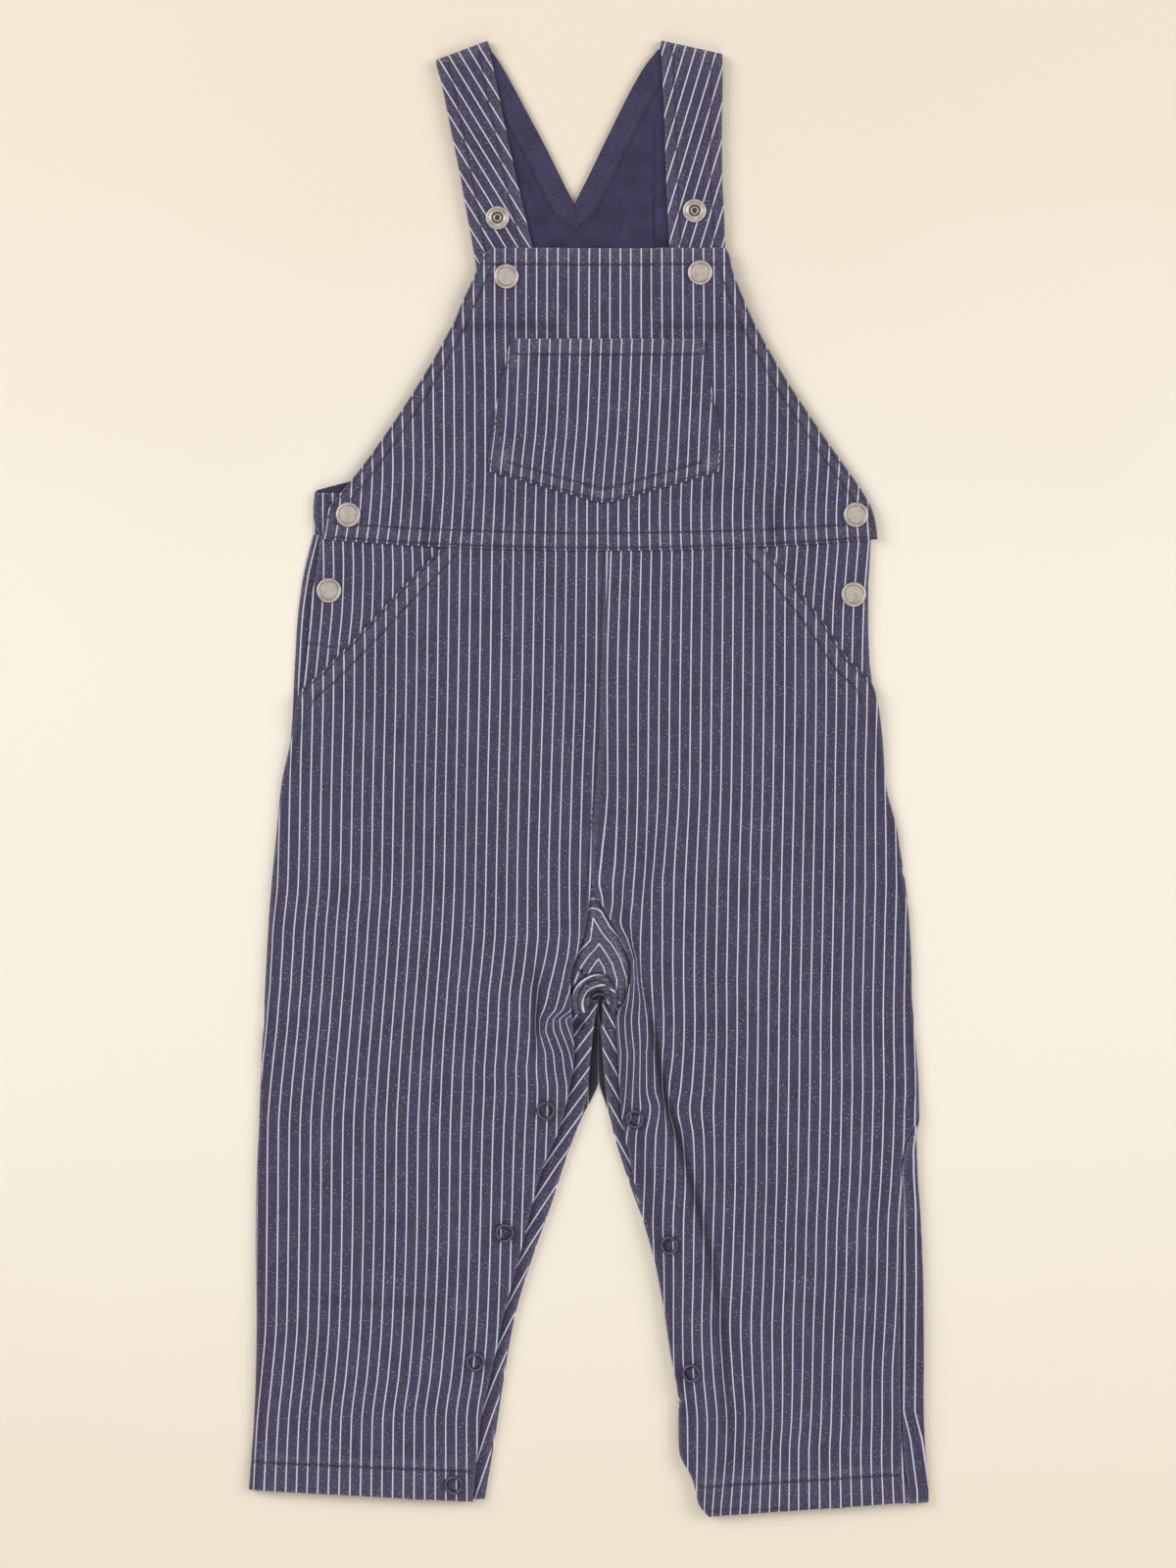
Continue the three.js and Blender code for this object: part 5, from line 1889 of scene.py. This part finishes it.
PLACKET_L = Sections("outer inner", [
    (-101.6, -9, 4.3), (-116.1, -10.3, 2), (-135.9, -12.6), (-147.2, -14.4, -1.1), (-158.4, -18.4, -4.7),
    (-173.7, -24.8, -10.5), (-196.2, -31.5, -17.8), (-216.9, -39.1, -25.2), (-245.7, -46.8, -34),
    (-273.6, -52.6, -39.4), (-299.2, -57.1, -43.4), (-330.6, -61.2, -48.2)])
PLACKET_R = Sections("outer inner", [
    (-101.6, 18, 6.2), (-116.1, 18, 5.9), (-135.9, 19.8, 7.4), (-147.2, 21.2, 8.9), (-158.4, 22.9, 10.6),
    (-173.7, 27.4, 14.9), (-198.5, 35.6, 23.9), (-223.2, 43.2, 31.4), (-245.7, 47.2, 35.4),
    (-268.2, 50.9, 38.9), (-290.7, 53.6, 41.8), (-308.7, 56, 44)])


def fill_row(counts: Sequence[float], known: Sequence[float], row: Sequence[float]) -> tuple[float, ...]:
    """Returns a row of stripes, y first, filled in evenly between the few known ones that it gives."""
    return (row[0], *np.interp(counts, known, row[1:]))


LEFT_COUNTS = (0, 12, 20, 21, 22, 23, 24, 25)
LEFT_EVEN = (
    (105.3, -117, -59, -10.3, 3.6), (42.3, -117, -59.9, -11.2, 3.1), (-2.7, -117.9, -60.8, -12.6, 1.6),
    (-47.7, -118.8, -61.6, -13.7, 0.5), (-160.2, -127.4, -68.4, -19.4, -5.9),
    (-205.2, -127.8, -68.9, -21.2, -6.8), (-250.2, -128.7, -70.7, -22.5, -8.1),
    (-272.7, -130.5, -72.5, -24.3, -9.9), (-295.2, -132.8, -75.2, -27.4, -13.1),
    (-328.9, -134.1, -75.2, -27, -12.6))
LEFT_LEG_STRIPES = Tracks(LEFT_COUNTS, Sections("a b c d e f g h", [
    (-70.2, -120.6, -62.6, -23.3, -18.4, -13.6, -8.7, -4.4, -0.6),
    (-79.2, -121.1, -63.3, -24, -19.4, -14.4, -9.4, -5.4, -2),
    (-88.2, -121.7, -64, -25.1, -21.3, -16.2, -11.2, -7.3, -4.2),
    (-97.2, -122.3, -64.8, -26.5, -23.5, -18.4, -13.1, -9, -6),
    (-101.7, -122.7, -65.1, -26.9, -23.9, -19.3, -14.2, -10.5, -7),
    (-106.2, -123.1, -65.5, -27, -24.3, -20.7, -15.5, -12.2, -8.4),
    (-110.7, -123.4, -65.8, -27, -24.5, -22.5, -18.8, -16.4, -13.5),
    (-115.2, -123.8, -66.2, -27.2, -24.4, -22.6, -19.7, -16.2, -12.8),
    (-119.7, -124.2, -66.5, -27.5, -23.8, -21.6, -18.5, -14.6, -11.2),
    (-126.5, -124.9, -66.9, -27.9, -23.9, -19.9, -16.3, -12.3, -8.9),
    (-133.2, -125.5, -67.3, -28.5, -24, -19.7, -15.7, -11.5, -7.4),
    (-142.2, -126.3, -67.7, -28.3, -23.6, -18.9, -14.6, -10.3, -6),
    *(fill_row(LEFT_COUNTS, (0, 12, 22, 25), row) for row in LEFT_EVEN)]))
RIGHT_COUNTS = (-12, -11, -10, -9, -8, -7, -6, -5, -4, 0, 8, 13)
RIGHT_EVEN = (
    (105.3, 10.2, 28.6, 66.2, 104, 127.4), (42.3, 8.3, 27.4, 65.7, 104, 127.4),
    (-2.7, 8.5, 27, 65.2, 103.5, 126.5), (-182.7, 7, 25.7, 62.1, 100.4, 124.2),
    (-205.2, 6.7, 24.8, 61.6, 99.5, 122.9), (-227.7, 7.7, 25.7, 60.8, 99, 122.4),
    (-250.2, 7.6, 26.1, 59.9, 98.1, 121.5), (-272.7, 7, 25.7, 61.2, 97.7, 120.6),
    (-295.2, 8.9, 27.4, 63, 96.8, 120.2), (-308.7, 9.4, 27.9, 62.6, 95.9, 119.7),
    (-335.7, 13.4, 30.2, 60.3, 95.9, 120.2))
RIGHT_LEG_STRIPES = Tracks(RIGHT_COUNTS, Sections("a b c d e f g h i j k l", [
    (-38.7, 5.5, 12, 16.6, 21.2, 25.9, 29.8, 34.5, 39.3, 44.5, 64.1, 102.8, 126.5),
    (-47.7, 4.7, 11.1, 15.8, 20.5, 25.3, 28.9, 33.7, 38.9, 44.1, 63.9, 102.6, 126.5),
    (-56.7, 6.3, 10.8, 15.3, 19.9, 24.5, 28.7, 33.7, 38.8, 43.9, 63.7, 102.4, 126.3),
    (-65.7, 6.5, 9.6, 14.4, 19.1, 24, 28.6, 33.6, 38.6, 43.6, 63.6, 102.3, 126.1),
    (-74.7, 11, 14.1, 18, 19.6, 23.6, 28.6, 33.6, 38.5, 43.4, 63.4, 102.1, 125.9),
    (-83.7, 13.5, 16.9, 20.6, 21.6, 23.5, 28.5, 33.5, 38.4, 43.3, 63.2, 101.9, 125.7),
    (-92.7, 15.5, 18.6, 20.8, 22.2, 23.8, 28.7, 33.6, 38.5, 43.3, 63, 101.7, 125.5),
    (-101.7, 15, 18, 20.2, 23.4, 25, 29.1, 33.9, 38.7, 43.5, 63.1, 101.5, 125.3),
    (-110.7, 13.5, 16.6, 19.5, 22.8, 26.3, 29.6, 34.2, 38.9, 43.6, 63.1, 101.3, 125.2),
    (-119.7, 14, 17, 20.1, 23.3, 26.5, 29.9, 34.2, 38.8, 43.5, 63.1, 101.2, 125.2),
    (-126.5, 14.6, 17.7, 20.8, 23.4, 26.1, 29.5, 33.8, 38.5, 43.2, 62.9, 101.2, 125.3),
    (-142.2, 13.6, 17, 20.2, 23.3, 26.3, 30, 33.5, 36.8, 42, 62.5, 101.1, 125.4),
    (-151.2, 12.3, 16.1, 19.8, 23.7, 28, 32, 34.5, 36.6, 40.8, 62.3, 101, 125.2),
    (-164.7, 8.8, 13, 17.3, 21.7, 26.1, 30.5, 35.1, 39.2, 43.1, 62.1, 100.7, 124.9),
    *(fill_row(RIGHT_COUNTS, (-12, -8, 0, 8, 13), row) for row in RIGHT_EVEN)]))
HIP_L_STRIPES = Tracks((0, 5), Sections("a b", [
    (114.3, -108.5, -86), (96.3, -108, -85.3), (78.3, -108.5, -85.5), (60.3, -110.2, -87.3),
    (32.4, -113, -90)]))
HIP_R_STRIPES = Tracks((0, 5), Sections("a b", [
    (114.3, 100.8, 124.2), (96.3, 99.5, 122.6), (78.3, 98.1, 121.3), (32.4, 96.8, 120.2)]))
PLACKET_L_TRACK = Sections("x pitch", [
    (-101.7, -0.5, 5.99), (-137.7, -27.4, 5.99), (-182.7, -59, 5.85), (-227.7, -84.6, 5.49),
    (-272.7, -104, 5.17), (-335.7, -124.2, 5)])
PLACKET_R_TRACK = Sections("x pitch", [
    (-101.7, -0.5, 5.49), (-137.7, 19.4, 5.49), (-182.7, 44.1, 5.49), (-317.7, 112, 5.4)])

BIB_CAPS = (("cap_bib_l", -37.8, 229.5), ("cap_bib_r", 50.9, 231.3), ("cap_side_l", -110.2, 120.6),
            ("cap_side_r", 122.3, 120.6))
HIP_CAPS = (("cap_hip_l", -119.2, 86.0), ("cap_hip_r", 121.3, 84.2))
STRAP_SOCKETS = (("socket_strap_l", -41.9, 256.6), ("socket_strap_r", 48.4, 259.9))
LEG_RINGS = (
    ("ring_leg_l1", -20.2, -152.1), ("ring_leg_l2", -38.7, -208.3), ("ring_leg_l3", -52.2, -267.3),
    ("ring_leg_l4", -62.1, -323.6), ("ring_leg_r1", 22.9, -155.7), ("ring_leg_r2", 38.7, -213.3),
    ("ring_leg_r3", 48.1, -271.8))


def along_track(track: Sections) -> Field:
    """Returns a stripe count from one slanting stripe's x, and the pitch, by height."""
    return lambda x, y: (x - track.at("x", y)) / track.at("pitch", y)


def lining_sections(rows: list[tuple], side: int) -> Sections:
    """Makes the lining's sections, a little inside those of the back bib.

    Args:
        rows: the back bib's rows of y, outer, inner and fall.
        side: -1 for the left half, which stands in under the underlap, and 1 for the right.

    Returns:
        The lining's sections.
    """
    inset = 1.5
    cut = [
        (y - (inset if y == SHOULDER_Y else 0.0), outer - math.copysign(inset, outer), inner, fall)
        for y, outer, inner, fall in rows]
    if side < 0:
        low = [(y, UNDERLAP_INNER, inner, fall) for y, _, inner, fall in cut if y < UNDERLAP_TOP - 0.2]
        step = [(UNDERLAP_TOP - 0.1, UNDERLAP_INNER, -1.3, 0), (UNDERLAP_TOP + 0.1, -124.4, -1.3, 0)]
        cut = low + step + [row for row in cut if row[0] > UNDERLAP_TOP + 0.2]
    return Sections("outer inner fall", cut)


CROTCH_ARCH = [
    (-12.0, -101.0), (-10.8, -93.0), (-8.4, -86.0), (-4.6, -80.2), (0.6, -74.2), (2.0, -64.0), (3.4, -66.5),
    (5.9, -70.8), (10.2, -76.0), (14.5, -83.0), (17.0, -91.4), (17.2, -100.0)]
CROTCH_ROLLS = ((-1.3, 1.02, 0.06), (1.7, 0.87, 0.09), (-0.5, 0.75, 0.05), (2.0, 0.62, 0.11))


@dataclass(frozen=True)
class CrotchFolds:
    """The gathered gusset, which rolls in arches over the start of the plackets."""

    middle: Point = (3.5, -102.0)
    stripe_pitch: float = 4.3
    seed: int = 71

    def roll(self, x: Array, y: Array) -> Array:
        """Returns how far out a place lies, 1 on the crease under the outer arch."""
        across = np.where(x < self.middle[0], 11.5, 9.3)
        return np.hypot((x - self.middle[0]) / across, (y - self.middle[1]) / 12.3)

    def count(self, x: Array, y: Array) -> Array:
        """Counts the stripes, which follow the arches.

        Args:
            x: places across.
            y: places along.

        Returns:
            The count at each place.
        """
        from_tip = np.abs(x - 2.2)
        under = y < -62.0 - 1.15 * from_tip - 0.030 * from_tip**2
        outside = np.where(under, -1.0, 1.0) * Seam(CROTCH_ARCH).nearest(x, y)[0]
        inside = np.hypot(x - 5.0, y + 103.0) - 12.5
        return np.where(self.roll(x, y) > 1.0, outside, inside) / self.stripe_pitch

    def dip(self, x: Array, y: Array) -> Array:
        """Returns how far the rolls' two ends hang down over the plackets."""
        return 7.5 * smooth(-92.0, -100.4, y) * smooth(2.0, 7.5, np.abs(x - 4.5))

    def to_legs(self, x: Array, y: Array) -> Array:
        """Returns the distance into the gusset from the nearer front leg."""
        return np.minimum(x - FRONT_LEG_L.at("inner", y), FRONT_LEG_R.at("inner", y) - x)

    def height(self, x: Array, y: Array) -> Array:
        """Gives the rolled folds, flush with the legs at the sides.

        Args:
            x: places across.
            y: places along.

        Returns:
            Heights to add.
        """
        roll = self.roll(x, y)
        height = 1.05 * smooth(0.3, 3.0, self.to_legs(x, y))
        for rise, at, width in CROTCH_ROLLS:
            height = height + rise * bell(roll - at, width)
        height = height - 1.8 * self.mouth(x, y) + 0.9 * smooth(-97.0, -102.0, y)
        noise = Unevenness(self.seed)
        return height + 0.3 * noise.at(x, y, 4.0, 1.0) + 0.12 * noise.at(x, y, 1.7, 1.0)

    def mouth(self, x: Array, y: Array) -> Array:
        """Returns 1 in the hollows under the rolls, falling to 0 around them: they are sunk and also
        darkened with painted shade.
        """
        hole = smooth(5.0, 2.6, np.hypot((x - 4.5) * 0.9, y + 100.4))
        pit = smooth(1.9, 0.6, np.hypot(x + 3.5, y + 88.5))
        return np.maximum(hole, pit)

    def shade(self, x: Array, y: Array) -> Array:
        """Returns the painted shade in the hollows, in the crease between the rolls and along the front
        legs' edges.
        """
        roll = self.roll(x, y)
        crease = bell(roll - 1.01, 0.06) * smooth(-10.0, -2.0, x)
        inner = 0.5 * bell(roll - 0.75, 0.05)
        under = 0.7 * smooth(1.4, 0.2, self.to_legs(x, y)) * smooth(-74.0, -84.0, y)
        return highest(self.mouth(x, y), crease, inner, under)


def slit_shade(x: Array, y: Array) -> Array:
    """Gives the painted shade on the plackets and back legs right beside the front legs' edges, and in the
    left placket's dip.

    Args:
        x: places across.
        y: places along.

    Returns:
        Shade from 0 to 1.
    """
    left = smooth(3.2, 0.4, x - FRONT_LEG_L.at("inner", y)) * (0.5 + 0.5 * smooth(-152.0, -140.0, y))
    right = smooth(1.4, 0.3, FRONT_LEG_R.at("inner", y) - x) * smooth(-170.0, -150.0, y)
    hole = smooth(4.2, 1.6, np.hypot(x + 4.6, (y + 113.5) * 0.8))
    return highest(0.9 * left, 0.8 * right, hole)


def gap_shade(x: Array, y: Array) -> Array:
    """Returns the painted shade, from 0 to 1, on the back legs down in the gap between the plackets."""
    return smooth(-158.0, -142.0, y) * smooth(12.0, 7.0, np.abs(x - 4.0)) * smooth(-80.0, -98.0, y)


def placket_shape(x: Array, y: Array) -> Array:
    """Gives the height of the plackets, pushed up where they start, and the left one's nub.

    Args:
        x: places across.
        y: places along.

    Returns:
        Heights to add.
    """
    rise = 1.6 * bell(y + 114.0, 17.0) * smooth(-101.6, -108.0, y)
    nub = Crease([(-4.7, -102.3), (-2.4, -104.5), (-1.5, -107.1), (-3.0, -109.4), (-4.7, -109.6)], 1.3, 1.2)
    hole = bell(np.hypot(x + 4.5, y + 113.0), 2.6)
    return rise + nub.height(x, y) - 1.3 * hole


def neck_line(rows: list[tuple], inset: float, side: int) -> list[Point]:
    """Returns the line inside the neckline's slanting edge, from the shoulder down to the V's point."""
    edge = [(inner, y) for y, _, inner, _ in reversed(rows) if y >= NECK_POINT_Y]
    return beside(edge, inset * side)


LEFT_CREASES = [
    Crease([(-24.5, -84.0), (-24.0, -108.0), (-24.5, -132.0)], -0.9, 3.2),
    Crease([(-130.0, -238.0), (-100.0, -241.0), (-62.0, -240.0)], -0.35, 4.0),
]
RIGHT_CREASES = [
    Crease([
        (14.4, -45.0), (14.6, -54.0), (21.6, -79.7), (27.5, -107.1), (34.2, -144.9), (40.0, -160.7),
        (55.4, -216.9), (60.7, -245.7), (62.1, -271.0), (64.2, -300.0), (63.9, -318.0)], -1.15, 3.4),
    Crease([(28.0, -108.0), (34.4, -145.0), (41.0, -168.0)], -0.8, 2.0),
]


class Dungarees:
    """The whole garment, piece by piece from the table up."""

    def __init__(self, finishes: Finishes) -> None:
        """Takes the finishes."""
        self.finishes = finishes

    def back(self) -> None:
        """Builds the back legs, the back bib with its straps and the lining."""
        f = self.finishes
        FlatPanel(
            "back_leg_l", f, BACK_LEG_L, inner_shift=0.1, shaded=gap_shade,
            counting=lambda x, y: (x - BACK_LEG_L.at("outer", np.maximum(y, -60.0))) / STRIPE_PITCH + 0.55,
        ).make()
        TurnedBackLeg(
            "back_leg_r", f, BACK_LEG_R, FRONT_LEG_R, shaded=gap_shade,
            counting=lambda x, y: (x - 128.0) / STRIPE_PITCH,
        ).make()
        for side, rows, strap, stripe_x, lean, gap in (
            (-1, BACK_BIB_L, STRAP_L, -66.6, 0.61, 5.49),
            (1, BACK_BIB_R, STRAP_R, 51.3, -0.3, 4.905),
        ):
            back = Sections("outer inner fall", rows)
            bib = BackBib("back_bib" + SIDE_NAMES[side], f, back, strap, side, lean, stripe_x, gap)
            bib.seams = [Seam(bib.strap_line(edge, 5.2), groove=0.2) for edge in ("outer", "inner")]
            bib.make()
            self.line(side, rows)

    def line(self, side: int, rows: list[tuple]) -> None:
        """Builds half of the lining.

        Args:
            side: -1 for the left half and 1 for the right.
            rows: the back bib's rows.
        """
        edge = Seam(neck_line(rows, 0.0, side))
        stitched = [p for p in neck_line(rows, 10.5, side) if p[1] > 256.0]
        tip = (-5.9 + 0.4 * side, 251.1)
        seams = [Seam([*stitched, tip], groove=0.3, pucker=0.14)]
        if side > 0:
            seams.append(Seam([(29.7, 300.0), (29.7, 215.0)], groove=0.3, pucker=0.06, sewn=False))
        FlatPanel(
            "lining" + SIDE_NAMES[side], self.finishes, lining_sections(rows, side), layer=1.0, lined=True,
            inner_shift=-0.1 * side, relief_share=0.8, seams=seams,
            rows_at=(UNDERLAP_TOP + 0.1, UNDERLAP_TOP - 0.1) if side < 0 else (),
            rubbed=lambda x, y: 0.7 * smooth(11.0, 9.0, edge.nearest(x, y)[0]),
            counting=lambda x, y: x / STRIPE_PITCH,
        ).make()

    def inside(self) -> None:
        """Builds the hip facings, the gusset and the plackets."""
        f = self.finishes
        FlatPanel(
            "hip_facing_l", f, HIP_L, HIP_L_STRIPES.count, layer=1.0, columns=34, pitch=1.3,
            rows_at=(111.7, 111.2), seams=[Seam([(-129.2, 62.1), (-110.2, 59.0)], groove=0.3)],
        ).make()
        FlatPanel("hip_facing_r", f, HIP_R, HIP_R_STRIPES.count, layer=1.0, columns=34, pitch=1.3).make()
        folds = CrotchFolds()
        FlatPanel(
            "gusset", f, GUSSET, folds.count, layer=1.0, columns=88, pitch=0.45, near=2.0,
            dip=folds.dip, shape=folds.height, shaded=folds.shade, rubbed=lambda x, y: 0.6 + 0.0 * x,
        ).make()
        for name, sections, track in (
            ("placket_l", PLACKET_L, PLACKET_L_TRACK), ("placket_r", PLACKET_R, PLACKET_R_TRACK),
        ):
            FlatPanel(
                name, f, sections, along_track(track), layer=1.0, columns=20, pitch=1.25, near=2.0,
                shape=placket_shape, shaded=slit_shade,
            ).make()

    def front(self) -> None:
        """Builds the front legs, the bib and its pocket."""
        f = self.finishes
        left = FrontLeg("front_leg_l", f, FRONT_LEG_L, LEFT_LEG_STRIPES, -1, LEFT_CREASES)
        right = FrontLeg("front_leg_r", f, FRONT_LEG_R, RIGHT_LEG_STRIPES, 1, RIGHT_CREASES)
        for leg in (left, right):
            leg.seams = [
                Seam(leg.hem_line(), groove=0.45),
                Seam(leg.edge("outer", 108.0, 38.0, 1.3), groove=0.3),
                Seam(leg.edge("outer", 108.0, 36.0, 7.4), groove=0.34, pucker=0.14),
            ]
        left.seams.append(Seam(left.edge("inner", 106.0, -45.0, 2.0), groove=0.35))
        left.make()
        right.make()
        self.bib()

    def bib(self) -> None:
        """Builds the bib and its pocket."""
        bib = FrontBib("front_bib", self.finishes)
        bib.seams = [Seam(bib.level_line(y, 2.0), groove=0.3) for y in (235.4, 110.9, 117.0)]
        for inset, top, bottom, groove, pucker in (
            (5.6, 235.0, 117.5, 0.3, 0.1), (1.2, 240.0, 112.0, 0.2, 0.05),
        ):
            for edge in ("left", "right"):
                bib.seams.append(Seam(bib.side_line(edge, inset, top, bottom), groove, pucker))
        bib.make()
        pocket = BibPocket("bib_pocket", self.finishes)
        pocket.seams = [
            Seam([(-36.4, 194.2), (8.0, 194.0), (52.9, 194.2)], groove=0.3),
            Seam(pocket.outline(1.1, 200.5), groove=0.25, pucker=0.06),
            Seam(pocket.outline(6.3, 193.0)[26:-26], groove=0.22, pucker=0.08),
        ]
        pocket.make()

    def snaps(self) -> None:
        """Turns and seats the snaps."""
        f = self.finishes
        pieces = bpy.data.objects
        bib = Touch(pieces["cloth_front_bib"])
        hips = Touch(pieces["cloth_hip_facing_l"], pieces["cloth_hip_facing_r"])
        straps = Touch(pieces["cloth_back_bib_l"], pieces["cloth_back_bib_r"])
        legs = Touch(pieces["cloth_front_leg_l"], pieces["cloth_front_leg_r"])
        for places, profile, touch, metal, slot, gap in (
            (BIB_CAPS, CAP, bib, f.silver, "silver_metal", 0.0),
            (HIP_CAPS, CAP, hips, f.silver, "silver_metal", 0.0),
            (STRAP_SOCKETS, SOCKET, straps, f.silver, "silver_metal", 0.0),
            (LEG_RINGS, RING, legs, f.navy, "navy_metal", 0.4),
        ):
            for node, x, y in places:
                Snap(node, x, y, profile, metal, slot, gap).make(touch)


def main() -> None:
    """Builds the studio and the garment."""
    logging.basicConfig(level=logging.INFO, format="%(message)s", stream=sys.stdout)
    Studio().make()
    garment = Dungarees(Finishes.make())
    garment.back()
    garment.inside()
    garment.front()
    garment.snaps()


if __name__ == "__main__":
    main()
